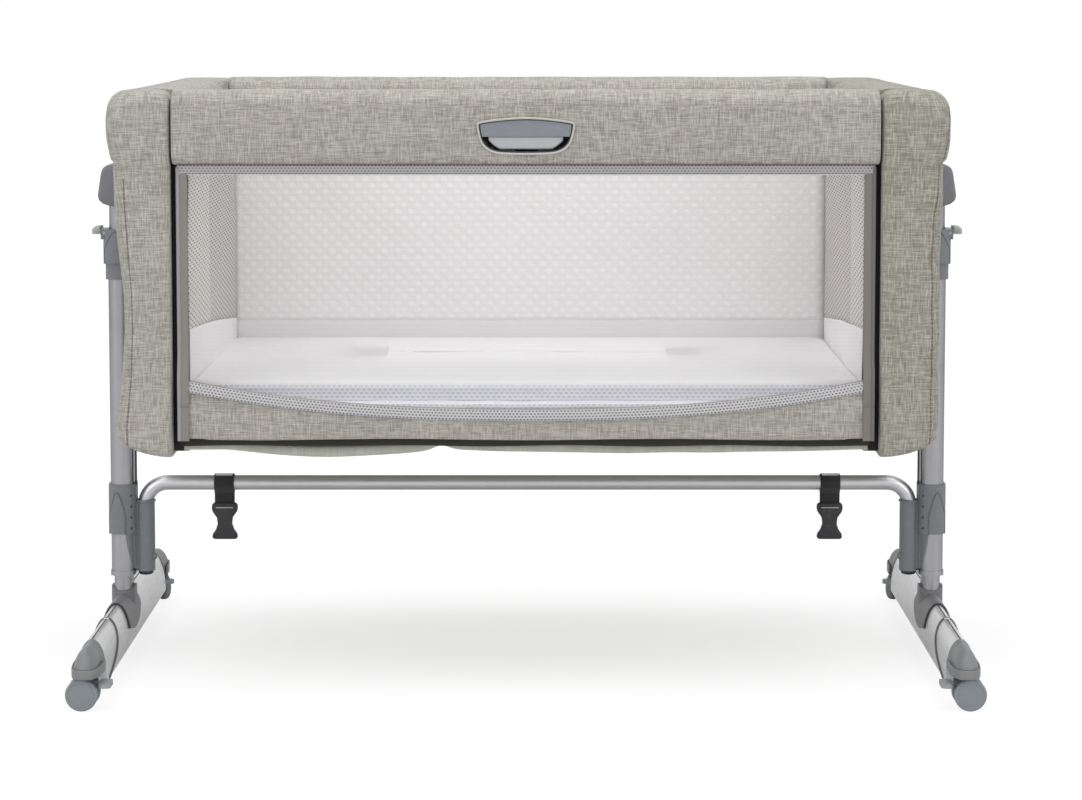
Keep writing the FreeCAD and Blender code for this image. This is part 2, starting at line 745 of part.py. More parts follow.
def rim_frame():
    """Welded upper frame: bent rim tube, side struts and two post sleeves."""
    outer = [pipe(rim_line(), frame_bend, tube_r)] + struts(tube_r, base_top)
    inner = [pipe(rim_line(), frame_bend, tube_r - frame_wall)]
    inner += struts(tube_r - frame_wall, base_top)
    low = rim_tube_height - sleeve_height / 2
    for side in (-1, 1):
        at = V(side * frame_x, guide_y, low)
        outer.append(rod(sleeve_diameter / 2, at, V(at.x, at.y, low + sleeve_height)))
    frame = fuse(outer)
    for bore in inner:
        frame = frame.cut(bore)
    for side in (-1, 1):
        frame = frame.cut(rod(tube_r, V(side * frame_x, guide_y, low),
                              V(side * frame_x, guide_y, guide_top)))
    bolt = hub_bolt_shape(0)
    return frame.cut(bolt).cut(mirrored(bolt))


def base_line():
    """Three sides of the base frame, from just inside the front bar round the back."""
    start = guide_y + frame_wall
    return [V(-frame_x, start, base_tube_height), V(-frame_x, frame_y, base_tube_height),
            V(frame_x, frame_y, base_tube_height), V(frame_x, start, base_tube_height)]


def base_loop(radius):
    """Base frame as solid bars: a bent U closed by a straight front bar."""
    reach = frame_x + tube_r
    front = rod(radius, V(-reach, guide_y, base_tube_height), V(reach, guide_y, base_tube_height))
    return fuse([pipe(base_line(), frame_bend, radius), front])


def base_frame():
    """Welded lower frame that the board and the posts stand on."""
    return base_loop(tube_r).cut(base_loop(tube_r - frame_wall))


def guide_post():
    """Front post: the drop side slides on it; the latch runs in its slot."""
    foot = V(frame_x, guide_y, base_top)
    head = V(frame_x, guide_y, guide_top)
    post = rod(tube_r, foot, head).cut(rod(tube_r - frame_wall, foot, head))
    half = latch_tip / 2 + latch_slot_gap
    slot = block(latch_face_x - frame_wall, frame_x, guide_y - half, guide_y + half,
                 rail_tube_height - drop_travel - half, rail_tube_height + half)
    return post.cut(slot)


def base_board():
    """Stiff board under the mattress, on the front and back tubes."""
    half = frame_x - tube_r - board_side_gap
    return block(-half, half, guide_y - board_front_bearing, frame_y + board_front_bearing,
                 board_bottom, board_top)


def mattress():
    """Mattress with a low crown and sides drawn in at mid height."""
    half = inner_x - mattress_gap
    front = rail_back + mattress_front_gap
    back = inner_y - mattress_gap
    low = mattress_bottom
    rings = []
    for share, crown in mattress_stations:
        top = low + mattress_thickness
        middle = (low + top) / 2
        peak = top + mattress_edge_crown + (mattress_crown - mattress_edge_crown) * crown
        ring = outline([(-back, low), (-front, low), (-front, top), (-back, top)],
                       {1: (-front - mattress_draw_in, middle),
                        2: ((-front - back) / 2, peak),
                        3: (-back + mattress_draw_in, middle)})
        ring.rotate(ORIGIN, Z_AXIS, -90)
        ring.translate(V(half * share, 0, 0))
        rings.append(ring)
    return Part.makeLoft(rings, True, False)


# ---------------------------------------------------------------- crib covers
def end_outline():
    """Front view of an end cover: hem, wall and the roll over it."""
    top_in = round_corner((inner_x, rim_height), roll_inner_round, 1, -1)
    top_out = round_corner((roll_x, rim_height), roll_outer_round, -1, -1)
    hem_out = (body_x + hem_flare, body_bottom + hem_round)
    hem_in = (body_x + hem_flare - hem_round, body_bottom)
    hem_mid = (body_x + hem_flare - hem_round * (1 - math.sqrt(0.5)),
               body_bottom + hem_round * (1 - math.sqrt(0.5)))
    points = [(inner_x, body_bottom), top_in[2], top_in[0], top_out[0], top_out[2],
              (roll_x, roll_bottom + roll_outer_round), (body_x, roll_bottom - roll_tuck),
              (body_x, hem_out[1] + hem_height), hem_out, hem_in]
    return outline(points, {1: top_in[1], 3: top_out[1], 8: hem_mid})


def tube_tunnels():
    """Room for the rim tube and the struts, a soft gap wider than they are."""
    wide = tube_r + soft_gap
    return [pipe(rim_line(), frame_bend, wide)] + struts(wide, body_bottom)


def base_rebate():
    """Room over and round the base frame and the board."""
    wide = tube_r + soft_gap
    return block(-frame_x - wide, frame_x + wide, guide_y - wide, frame_y + wide,
                 body_bottom - hem_round, board_top + soft_gap)


def slider_pocket():
    """Room in the front post for guide post, sleeve and slider, with its slot."""
    half = slider_width / 2 + pocket_gap
    sleeve_top = rim_tube_height + sleeve_height / 2 + pocket_gap
    pocket = block(frame_x - slider_width / 2 - pocket_gap, body_x - pocket_outer_skin,
                   guide_y - half, guide_y + half, board_top, sleeve_top)
    slot_half = rail_tube / 2 + pocket_gap / 2
    slot = block(inner_x, frame_x, guide_y - slot_half, guide_y + slot_half,
                 rail_tube_height - drop_travel - slot_half, rail_tube_height + slot_half)
    return fuse([pocket, slot])


def end_cover(on_left):
    """Padded end wall with its roll, front post and hollow inside."""
    cover = along_y(end_outline(), -body_y, body_y)
    notch = block(inner_x - lining, post_x, -body_y, rail_back + mattress_front_gap,
                  body_bottom, rim_height)
    hollow = block(inner_x + lining, body_x - lining, guide_y + slider_width, body_y - lining,
                   board_top + 2 * lining, roll_bottom - lining)
    bolt_hole = rod(hub_bolt / 2 + soft_gap, V(frame_x, 0, bolt_z), V(leg_x, 0, bolt_z))
    shapes = [cover, notch, hollow, slider_pocket(), bolt_hole]
    if on_left:
        shapes = [mirrored(s) for s in shapes]
    cover = shapes[0]
    for room in shapes[1:] + [base_rebate()] + tube_tunnels():
        cover = cover.cut(room)
    return cover


def back_cover():
    """Padded back wall between the end covers, hollow inside."""
    half = inner_x - soft_gap
    top_in = round_corner((inner_y, rim_height), roll_inner_round, 1, -1)
    top_out = round_corner((body_y, rim_height), roll_outer_round, -1, -1)
    shape = outline([(inner_y, body_bottom), top_in[2], top_in[0], top_out[0], top_out[2],
                     (body_y, body_bottom)], {1: top_in[1], 3: top_out[1]})
    cover = along_x(shape, -half, half)
    hollow = block(-half + lining, half - lining, inner_y + lining, body_y - lining,
                   board_top + 2 * lining, roll_bottom - lining)
    cover = cover.cut(hollow).cut(base_rebate())
    return cover.cut(pipe(rim_line(), frame_bend, tube_r + soft_gap))


def front_lower_band():
    """Cloth band under the mesh, with a hem that lies on the front tube."""
    front = -body_y + band_setback
    back = front + band_thickness
    shape = outline([(-band_x, band_bottom), (-band_x, band_side_top), (band_x, band_side_top),
                     (band_x, band_bottom)], {1: (0, band_middle_top)})
    band = along_y(shape, front, back)
    hem = block(-band_x, band_x, back, guide_y - tube_r - soft_gap,
                band_bottom, band_bottom + band_hem_height)
    return fuse([band, hem])


def front_mesh_panel():
    """Mesh between the band and the drop rail, plain sheet."""
    front = -body_y + panel_setback
    low = band_side_top + soft_gap
    high = roll_bottom - soft_gap
    shape = outline([(-panel_x, low), (-panel_x, high), (panel_x, high), (panel_x, low)],
                    {3: (0, band_middle_top + soft_gap)})
    return along_y(shape, front, front + panel_thickness)


def under_sling():
    """Cloth that hangs under the base in two shallow bays, deeper at the front."""
    half = frame_x - tube_r
    top = base_under - soft_gap
    rings = []
    for way, share in sling_stations:
        sag = sling_back_sag + (sling_sag - sling_back_sag) * share
        pinch = top - sag + sling_pinch_rise * share
        left = ((-half - sling_pinch) / 2, top - sag)
        right = ((half - sling_pinch) / 2, top - sag * sling_right_bay)
        points = [(-half, top), (-sling_pinch, pinch), (half, top),
                  (half, top - sling_thickness), (-sling_pinch, pinch - sling_thickness),
                  (-half, top - sling_thickness)]
        ring = outline(points, {0: left, 1: right,
                                3: (right[0], right[1] - sling_thickness),
                                4: (left[0], left[1] - sling_thickness)})
        ring.translate(V(0, guide_y + (frame_y - guide_y) * way, 0))
        rings.append(ring)
    return Part.makeLoft(rings, True, False)


# ----------------------------------------------------------------- drop side
def rail_outline():
    """End view of the drop rail, drawn as (y, z)."""
    front, back = -body_y, rail_back
    low_f = round_corner((front, roll_bottom), rail_foot_round, 1, 1)
    top_f = round_corner((front, rim_height), rail_round, 1, -1)
    top_b = round_corner((back, rim_height), rail_round, -1, -1)
    low_b = round_corner((back, roll_bottom), rail_foot_round, -1, 1)
    return outline([low_f[0], low_f[2], top_f[2], top_f[0], top_b[0], top_b[2],
                    low_b[2], low_b[0]],
                   {0: low_f[1], 2: top_f[1], 4: top_b[1], 6: low_b[1]})


def handle_outline(inset):
    """Front view of the handle: arched top, and flanks that close in to a flat bottom."""
    half = handle_width / 2
    flat = handle_flat / 2
    high = handle_bottom + handle_height
    shoulder = high - handle_arch
    belly_x = (half + flat) / 2 + handle_flank
    belly_z = (handle_bottom + shoulder) / 2
    shape = outline([(-flat, handle_bottom), (-half, shoulder), (half, shoulder),
                     (flat, handle_bottom)],
                    {0: (-belly_x, belly_z), 1: (0, high), 2: (belly_x, belly_z)})
    if inset == 0:
        return shape
    return shape.makeOffset2D(-inset, sharp_join)


def drop_rail_cover():
    """Padded rail of the drop side, with room for its tube and handle."""
    rail = along_x(rail_outline(), -rail_x, rail_x)
    tunnel = rod(rail_tube / 2 + soft_gap, V(-rail_x, guide_y, rail_tube_height),
                 V(rail_x, guide_y, rail_tube_height))
    seat = along_y(handle_outline(-soft_gap), handle_front, handle_front + handle_depth + soft_gap)
    return rail.cut(tunnel).cut(seat)


def slider_inner_x():
    """Inner face of a slider, where the rail tube enters it."""
    return frame_x - slider_width / 2


def drop_rail_tube():
    """Steel tube through the rail, seated in both sliders."""
    reach = slider_inner_x() + slider_socket
    start = V(-reach, guide_y, rail_tube_height)
    end = V(reach, guide_y, rail_tube_height)
    return rod(rail_tube / 2, start, end).cut(rod(rail_tube / 2 - rail_tube_wall, start, end))


def rail_slider():
    """Plastic slider on the guide post, with a socket for the rail tube."""
    half = slider_width / 2
    body = block(frame_x - half, frame_x + half, guide_y - half, guide_y + half,
                 rail_tube_height - slider_height / 2, rail_tube_height + slider_height / 2)
    bore = rod(tube_r + slide_fit, V(frame_x, guide_y, roll_bottom - slider_height),
               V(frame_x, guide_y, rim_height))
    start = V(slider_inner_x(), guide_y, rail_tube_height)
    socket = rod(rail_tube / 2, start, start.add(V(slider_socket, 0, 0)))
    hole = rod(latch_tip / 2 + slide_fit, start, V(frame_x, guide_y, rail_tube_height))
    return body.cut(bore).cut(socket).cut(hole)


def latch_bolt():
    """Stepped latch bolt in the end of the rail tube."""
    tip_x = latch_face_x + latch_engagement
    step_x = tip_x - latch_tip_length
    tip = rod(latch_tip / 2, V(step_x, guide_y, rail_tube_height),
              V(tip_x, guide_y, rail_tube_height))
    body = rod(rail_tube / 2 - rail_tube_wall - slide_fit,
               V(step_x - latch_body_length, guide_y, rail_tube_height),
               V(step_x, guide_y, rail_tube_height))
    return fuse([tip, body])


def handle_bezel():
    """Handle shell let into the front of the rail, open to the front."""
    body = along_y(handle_outline(0), handle_front, handle_front + handle_depth)
    room = along_y(handle_outline(handle_wall), handle_front,
                   handle_front + handle_depth - handle_wall)
    return body.cut(room)


def release_grip():
    """Grip bar in the lower half of the handle, squeezed upward."""
    half = grip_length / 2
    back = handle_front + handle_depth - handle_wall - grip_gap
    front = back - grip_thickness
    low = handle_bottom + handle_wall + grip_gap
    bar = block(-half, half, front, back, low, low + grip_height)
    bar = bar.common(along_y(handle_outline(handle_wall + grip_gap), front, back))
    rim = [e for e in bar.Edges if e.BoundBox.YMax < front + grip_gap]
    return bar.makeFillet(grip_round, rim)


# ------------------------------------------------------------------- writing
def place_caster(shape, side, end, turn):
    """Turn a caster piece about its stem and move it under its toe."""
    piece = shape.copy()
    angle = turn if side < 0 else 180 - turn
    piece.rotate(ORIGIN, Z_AXIS, angle)
    piece.translate(V(side * leg_x, end * caster_y, 0))
    return piece


def write(name, solids):
    """Write one node; a group of like pieces shares a node."""
    checked = [one_solid(s) for s in solids]
    shape = checked[0] if len(checked) == 1 else Part.makeCompound(checked)
    shape.exportStep("parts/%s.step" % name)


def write_pair(name, right):
    """Write a piece for the right side and its mirror image for the left."""
    write(name + "_right", [right])
    write(name + "_left", [mirrored(right)])


def write_stand():
    """The two feet, the legs and what joins them."""
    write_pair("foot_beam", foot_beam())
    cap = toe_cap()
    front_cap = cap.mirror(ORIGIN, Y_AXIS)
    write_pair("toe_cap_rear", cap)
    write_pair("toe_cap_front", front_cap)
    write_pair("leg_saddle", leg_saddle())
    write_pair("leg_stub", stub())
    write_pair("leg_tube", leg_tube())
    write_pair("crossbar_bracket", crossbar_bracket())
    write_pair("height_collar", height_collar())
    write_pair("height_lever", height_lever())
    write("crossbar", [crossbar()])
    screws = bracket_screws()
    write("stand_screws", screws + [mirrored(s) for s in screws])
    write("caster_stems", [caster_stem_pin(side * leg_x, end * caster_y)
                           for side in (-1, 1) for end in (-1, 1)])


def write_casters():
    """Four castors, each a hood with its axle, two wheels and a pedal."""
    hood = [caster_hood(), caster_axle_rod()]
    wheels = caster_wheels()
    pedal = [brake_pedal()]
    ends = (("front", -1, front_caster_turn), ("rear", 1, rear_caster_turn))
    for end_name, end, turn in ends:
        for side_name, side in (("left", -1), ("right", 1)):
            tail = "_%s_%s" % (end_name, side_name)
            for name, pieces in (("caster_hood", hood), ("caster_wheels", wheels),
                                 ("brake_pedal", pedal)):
                write(name + tail, [place_caster(p, side, end, turn) for p in pieces])


def write_straps():
    """The two straps that tie the crib to an adult bed."""
    write_pair("bed_strap", bed_strap())
    write_pair("strap_buckle", strap_buckle())


def write_body():
    """The crib body: frames, board, mattress and covers."""
    write_pair("riser_tube", riser_tube())
    write_pair("hub_cover", hub_cover())
    bolt = hub_bolt_shape(0)
    write("hub_bolts", [bolt, mirrored(bolt)])
    write("rim_frame", [rim_frame()])
    write("base_frame", [base_frame()])
    post = guide_post()
    write("guide_posts", [post, mirrored(post)])
    write("base_board", [base_board()])
    write("mattress", [mattress()])
    write("end_cover_right", [end_cover(False)])
    write("end_cover_left", [end_cover(True)])
    write("back_cover", [back_cover()])
    write("front_lower_band", [front_lower_band()])
    write("front_mesh_panel", [front_mesh_panel()])
    write("under_sling", [under_sling()])


def write_drop_side():
    """The front side that slides down, with its handle and latches."""
    write("drop_rail_cover", [drop_rail_cover()])
    write("drop_rail_tube", [drop_rail_tube()])
    slider = rail_slider()
    write("rail_sliders", [slider, mirrored(slider)])
    write_pair("latch_bolt", latch_bolt())
    write("handle_bezel", [handle_bezel()])
    write("release_grip", [release_grip()])


os.makedirs("parts", exist_ok=True)
write_stand()
write_casters()
write_straps()
write_body()
write_drop_side()
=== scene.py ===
import math

import bmesh
import bpy
import numpy as np
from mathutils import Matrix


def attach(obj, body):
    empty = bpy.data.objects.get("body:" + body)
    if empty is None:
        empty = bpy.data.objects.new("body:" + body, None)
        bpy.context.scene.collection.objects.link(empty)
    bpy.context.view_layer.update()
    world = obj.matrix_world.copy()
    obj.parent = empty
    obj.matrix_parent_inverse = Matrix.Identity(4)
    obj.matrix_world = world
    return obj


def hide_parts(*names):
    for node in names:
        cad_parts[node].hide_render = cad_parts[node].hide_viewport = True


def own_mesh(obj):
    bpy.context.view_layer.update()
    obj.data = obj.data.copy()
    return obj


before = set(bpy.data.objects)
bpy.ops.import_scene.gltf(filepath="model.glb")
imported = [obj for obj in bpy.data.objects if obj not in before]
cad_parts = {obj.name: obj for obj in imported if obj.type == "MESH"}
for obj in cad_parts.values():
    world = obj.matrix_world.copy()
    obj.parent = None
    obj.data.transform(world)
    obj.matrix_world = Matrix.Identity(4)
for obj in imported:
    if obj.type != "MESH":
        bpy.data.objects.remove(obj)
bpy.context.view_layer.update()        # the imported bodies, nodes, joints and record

# ------------------------------------------------------------ camera, floor and light
# A bedside crib photographed from the front on a white studio sweep. The camera stands
# 3.5 m off at rim height and looks slightly down, so the verticals stay nearly upright.
scene = bpy.context.scene
scene.view_settings.view_transform = "Standard"
lens = bpy.data.cameras.new("camera")
lens.lens = 96.26
lens.sensor_width = 36.0
lens.shift_y = -0.1403
camera = bpy.data.objects.new("camera", lens)
camera_tilt = 4.8        # degrees below the level
camera.location = (0.017, -3.5304, 0.7962)
camera.rotation_euler = (math.radians(90 - camera_tilt), 0.0, 0.0)
scene.collection.objects.link(camera)
scene.camera = camera


def rgb(red, green, blue):
    """A colour given as on a paint card, 0 to 255, as the linear one that shaders use."""
    share = np.array([red, green, blue]) / 255
    low = share / 12.92
    high = ((share + 0.055) / 1.055) ** 2.4
    return (*np.where(share <= 0.04045, low, high).tolist(), 1.0)


def put(tree, kind, inputs=(), **settings):
    """Adds a shader node, sets it, and fills its inputs with values or other outputs."""
    made = tree.nodes.new("ShaderNode" + kind)
    for key, value in settings.items():
        setattr(made, key, value)
    for key, value in dict(inputs).items():
        socket = made.inputs[key]
        if isinstance(value, bpy.types.NodeSocket):
            tree.links.new(value, socket)
        else:
            socket.default_value = value
    return made


def empty_material(name):
    """A new material with only its output, and its node tree."""
    made = bpy.data.materials.new(name)
    made.use_nodes = True
    made.node_tree.nodes.clear()
    return made, made.node_tree


def surface(name, grid, uv=None, around=False, tips=False, sharp=None):
    """A mesh over an array of points, rows by columns by 3: four neighbours make a face.

    around joins the last column to the first; tips closes the first and last rows to
    their mean points, which makes a closed shell whose faces are then turned outwards.
    """
    grid = np.asarray(grid, float)
    if tips:
        first = np.broadcast_to(grid[:1].mean(axis=1, keepdims=True), grid[:1].shape)
        last = np.broadcast_to(grid[-1:].mean(axis=1, keepdims=True), grid[-1:].shape)
        grid = np.concatenate([first, grid, last])
        if uv is not None:
            uv = np.concatenate([uv[:1], uv, uv[-1:]])
    rows, columns = grid.shape[:2]
    reach = columns if around else columns - 1
    i, j = np.meshgrid(np.arange(rows - 1), np.arange(reach), indexing="ij")
    k = (j + 1) % columns
    quads = np.stack([i * columns + j, i * columns + k,
                      (i + 1) * columns + k, (i + 1) * columns + j], axis=-1).reshape(-1, 4)
    mesh = bpy.data.meshes.new(name)
    mesh.from_pydata(grid.reshape(-1, 3).tolist(), [], quads.tolist())
    if uv is not None:
        across = uv.shape[1]
        corners = np.stack([i * across + j, i * across + j + 1,
                            (i + 1) * across + j + 1, (i + 1) * across + j], axis=-1)
        flat = uv.reshape(-1, 2)[corners.reshape(-1)]
        mesh.uv_layers.new(name="cloth").data.foreach_set("uv", flat.reshape(-1))
    made = bpy.data.objects.new(name, mesh)
    scene.collection.objects.link(made)
    shell = bmesh.new()
    shell.from_mesh(mesh)
    bmesh.ops.remove_doubles(shell, verts=shell.verts, dist=1e-7)
    if tips:
        bmesh.ops.recalc_face_normals(shell, faces=shell.faces)
    shell.to_mesh(mesh)
    shell.free()
    mesh.polygons.foreach_set("use_smooth", np.ones(len(mesh.polygons), bool))
    if sharp is not None:
        mesh.set_sharp_from_angle(angle=math.radians(sharp))
    return made


floor_side = 14.0
floor = surface("floor", np.stack(np.meshgrid(
    np.linspace(-floor_side, floor_side, 3), np.linspace(-floor_side, floor_side, 3),
    [0.0], indexing="xy"), axis=-1)[:, :, 0])
floor_material, tree = empty_material("studio floor")
grit = put(tree, "TexNoise", {"Scale": 3.0, "Detail": 2.0})
tone = put(tree, "Mix", {"Factor": grit.outputs["Fac"], "A": (0.83, 0.83, 0.83, 1),
                         "B": (0.86, 0.86, 0.86, 1)}, data_type="RGBA")
matt = put(tree, "BsdfPrincipled", {"Base Color": tone.outputs["Result"], "Roughness": 0.9,
                                    "Specular IOR Level": 0.1})
glow = put(tree, "Emission", {"Color": (1, 1, 1, 1), "Strength": 1.08})
ground = put(tree, "TexCoord").outputs["Object"]
pool = put(tree, "Mapping", {"Vector": ground, "Location": (0, -0.17, 0),
                             "Scale": (0.95, 2.4, 1.0)})
spread = put(tree, "VectorMath", {0: pool.outputs[0]}, operation="LENGTH")
near = put(tree, "MapRange", {"Value": spread.outputs["Value"], "From Min": 0.12,
                              "From Max": 0.85, "To Min": 0.56, "To Max": 0.82},
           interpolation_type="SMOOTHSTEP")
away = put(tree, "VectorMath", {0: ground}, operation="LENGTH")
far = put(tree, "MapRange", {"Value": away.outputs["Value"], "From Min": 0.75,
                             "From Max": 1.5, "To Min": 0.0, "To Max": 1.0},
          interpolation_type="SMOOTHSTEP")
share = put(tree, "Math", {0: near.outputs[0], 1: far.outputs[0]}, operation="MAXIMUM")
path = put(tree, "LightPath")
seen = put(tree, "Math", {0: path.outputs["Is Camera Ray"], 1: share.outputs[0]},
           operation="MULTIPLY")
both = put(tree, "MixShader", {0: seen.outputs[0], 1: matt.outputs[0], 2: glow.outputs[0]})
put(tree, "OutputMaterial", {"Surface": both.outputs[0]})
floor.data.materials.append(floor_material)

world = bpy.data.worlds.new("studio")
world.use_nodes = True
scene.world = world
tree = world.node_tree
tree.nodes.clear()
path = put(tree, "LightPath")
straight = put(tree, "Math", {0: path.outputs["Is Camera Ray"],
                              1: path.outputs["Is Glossy Ray"]}, operation="MAXIMUM")
straight = put(tree, "Math", {0: straight.outputs[0],
                              1: path.outputs["Is Transmission Ray"]}, operation="MAXIMUM")
dim = put(tree, "Background", {"Color": (1, 1, 1, 1), "Strength": 0.62})
bright = put(tree, "Background", {"Color": (1, 1, 1, 1), "Strength": 1.0})
both = put(tree, "MixShader", {0: straight.outputs[0], 1: dim.outputs[0],
                               2: bright.outputs[0]})
put(tree, "OutputWorld", {"Surface": both.outputs[0]})


def softbox(name, place, aim, width, height, power):
    """A studio softbox: a lit rectangle at a place, turned towards the point it lights."""
    data = bpy.data.lights.new(name, "AREA")
    data.shape = "RECTANGLE"
    data.size, data.size_y, data.energy = width, height, power
    made = bpy.data.objects.new(name, data)
    way = np.array(aim) - np.array(place)
    yaw = math.atan2(-way[0], way[1])
    tilt = math.atan2(math.hypot(way[0], way[1]), -way[2])
    made.location = place
    made.rotation_euler = (tilt, 0.0, yaw)
    scene.collection.objects.link(made)


softbox("overhead", (0.0, -0.3, 3.2), (0.0, 0.0, 0.3), 3.6, 2.6, 62.0)
softbox("front_left", (-2.6, -3.2, 1.9), (0.0, 0.0, 0.4), 1.8, 1.8, 26.0)
softbox("front_right", (2.6, -3.2, 1.7), (0.0, 0.0, 0.4), 1.8, 1.8, 22.0)


# ---------------------------------------------------------------- feet with toe caps
# Two pressed aluminium feet of arched section, with a groove along the ridge and a
# joint seam near the front; grey moulded toe caps close their ends over the casters.
leg_x = 0.498
foot_half_width = 0.0165
foot_base = 0.022
foot_ridge = 0.072
foot_half_length = 0.262
seam_y = -0.150          # where the joint seam crosses the ridge
both_sides = ((-1, "left"), (1, "right"))
four_corners = ["%s_%s" % (end, name) for end in ("front", "rear")
                for name in ("left", "right")]


def new_group(name, takes, gives):
    """An empty shader group with its inputs (name, kind, value) and outputs (name, kind)."""
    group = bpy.data.node_groups.new(name, "ShaderNodeTree")
    for label, kind, value in takes:
        socket = group.interface.new_socket(label, in_out="INPUT",
                                            socket_type="NodeSocket" + kind)
        if value is not None:
            socket.default_value = value
    for label, kind in gives:
        group.interface.new_socket(label, in_out="OUTPUT", socket_type="NodeSocket" + kind)
    return group, group.nodes.new("NodeGroupInput"), group.nodes.new("NodeGroupOutput")


def hand_out(group, gives, **outputs):
    """Joins the values that a shader group gives to its outputs."""
    for key, value in outputs.items():
        group.links.new(value, gives.inputs[key])


look = [("Color", "Color"), ("Rough", "Float"), ("Height", "Float")]


def grey_of(tree, value):
    """A grey whose three channels are one value."""
    return put(tree, "CombineColor", {0: value, 1: value, 2: value}).outputs[0]


def math_node(tree, operation, first, second=None, third=None, clamp=False):
    """The output of one Math node."""
    inputs = {k: v for k, v in ((0, first), (1, second), (2, third)) if v is not None}
    return put(tree, "Math", inputs, operation=operation, use_clamp=clamp).outputs[0]


def mixed(tree, share, first, second, blend="MIX"):
    """The colour that lies a share of the way from the first to the second."""
    return put(tree, "Mix", {"Factor": share, "A": first, "B": second},
               data_type="RGBA", blend_type=blend).outputs["Result"]


def shaded(tree, height, depth, inputs, strength=1.0):
    """The Principled shader of a material over its relief, joined to the output."""
    relief = put(tree, "Bump", {"Height": height, "Distance": depth, "Strength": strength})
    shader = put(tree, "BsdfPrincipled", {**inputs, "Normal": relief.outputs[0]})
    put(tree, "OutputMaterial", {"Surface": shader.outputs[0]})
    return shader


# Brushed metal: long fine streaks along the piece, with a cloudy bloom over them.
brushed, takes, gives = new_group(
    "brushed metal",
    [("Place", "Vector", None), ("Stretch", "Vector", (900, 900, 18)),
     ("Color", "Color", (0.5, 0.5, 0.5, 1)), ("Wear", "Float", 0.2)],
    look)
pulled = put(brushed, "VectorMath", {0: takes.outputs["Place"], 1: takes.outputs["Stretch"]},
             operation="MULTIPLY").outputs[0]
streak = put(brushed, "TexNoise", {"Vector": pulled, "Scale": 1.0, "Detail": 3.0})
bloom = put(brushed, "TexNoise", {"Vector": takes.outputs["Place"], "Scale": 38.0,
                                  "Detail": 3.0})
shade = math_node(brushed, "MULTIPLY_ADD", streak.outputs["Fac"], 0.30, 0.85)
cloud = math_node(brushed, "MULTIPLY_ADD", bloom.outputs["Fac"], takes.outputs["Wear"], 0.9)
shade = math_node(brushed, "MULTIPLY", shade, cloud)
grey = grey_of(brushed, shade)
hand_out(brushed, gives, Color=mixed(brushed, 1.0, takes.outputs["Color"], grey, "MULTIPLY"),
         Rough=math_node(brushed, "MULTIPLY_ADD", bloom.outputs["Fac"], 0.22, 0.24),
         Height=streak.outputs["Fac"])


def metal(name, colour, stretch, metallic=1.0, wear=0.2, bump=0.00004, edge=0.5):
    """Brushed or satin-painted metal whose streaks run the way of the small stretch.

    Its colour carries painted shade: it darkens where it turns away from the eye, standing in
    for the dark reflection of studio flags.
    """
    made, tree = empty_material(name)
    where = put(tree, "TexCoord").outputs["Object"]
    body = put(tree, "Group", {"Place": where, "Stretch": stretch, "Color": colour,
                               "Wear": wear}, node_tree=brushed)
    # painted shade: the base colour darkens towards the outline, where the surface faces away
    # from the eye
    turned = put(tree, "LayerWeight", {"Blend": 0.42}).outputs["Facing"]
    turned = math_node(tree, "POWER", turned, 2.2)
    painted_edge_shade = math_node(tree, "MULTIPLY_ADD", turned, -edge, 1.0)
    grey = grey_of(tree, painted_edge_shade)
    shaded(tree, body.outputs["Height"], bump, {
        "Base Color": mixed(tree, 1.0, body.outputs["Color"], grey, "MULTIPLY"),
        "Roughness": body.outputs["Rough"], "Metallic": metallic})
    return made


# Moulded plastic: a fine spark-eroded grain with pale scuffs and a slightly mottled tone.
moulded, takes, gives = new_group(
    "moulded grain",
    [("Place", "Vector", None), ("Color", "Color", (0.3, 0.3, 0.3, 1)),
     ("Speckle", "Float", 0.25), ("Grain", "Float", 1500.0)],
    look)
fine = put(moulded, "TexNoise", {"Vector": takes.outputs["Place"],
                                 "Scale": takes.outputs["Grain"], "Detail": 2.0})
broad = put(moulded, "TexNoise", {"Vector": takes.outputs["Place"], "Scale": 60.0,
                                  "Detail": 3.0})
scuff = put(moulded, "TexNoise", {"Vector": takes.outputs["Place"], "Scale": 240.0,
                                  "Detail": 4.0, "Distortion": 1.5})
dots = math_node(moulded, "SUBTRACT", fine.outputs["Fac"], 0.5)
dots = math_node(moulded, "MULTIPLY_ADD", dots, takes.outputs["Speckle"], 1.0)
tone = math_node(moulded, "MULTIPLY_ADD", broad.outputs["Fac"], 0.16, 0.92)
tone = math_node(moulded, "MULTIPLY", dots, tone)
grey = grey_of(moulded, tone)
base = mixed(moulded, 1.0, takes.outputs["Color"], grey, "MULTIPLY")
mark = put(moulded, "MapRange", {"Value": scuff.outputs["Fac"], "From Min": 0.62,
                                 "From Max": 0.75, "To Max": 0.12}).outputs[0]
hand_out(moulded, gives, Color=mixed(moulded, mark, base, (0.75, 0.75, 0.75, 1)),
         Rough=math_node(moulded, "MULTIPLY_ADD", broad.outputs["Fac"], 0.20, 0.42),
         Height=fine.outputs["Fac"])


def plastic(name, colour, speckle=0.25, grain=1500.0, bump=0.00006, coat=0.0):
    """Moulded plastic with its grain as colour, roughness and relief."""
    made, tree = empty_material(name)
    where = put(tree, "TexCoord").outputs["Object"]
    body = put(tree, "Group", {"Place": where, "Color": colour, "Speckle": speckle,
                               "Grain": grain}, node_tree=moulded)
    shaded(tree, body.outputs["Height"], bump, {
        "Base Color": body.outputs["Color"], "Roughness": body.outputs["Rough"],
        "Coat Weight": coat})
    return made


def dress(material, *nodes):
    """Gives CAD nodes a material in every one of their slots."""
    for node in nodes:
        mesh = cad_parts[node].data
        if not mesh.materials:
            mesh.materials.append(material)
        for i in range(len(mesh.materials)):
            mesh.materials[i] = material


def gridded(*ways):
    """Points, or UV places, from one array or number for each way, spread to one shape."""
    return np.stack(np.broadcast_arrays(*ways), axis=-1)


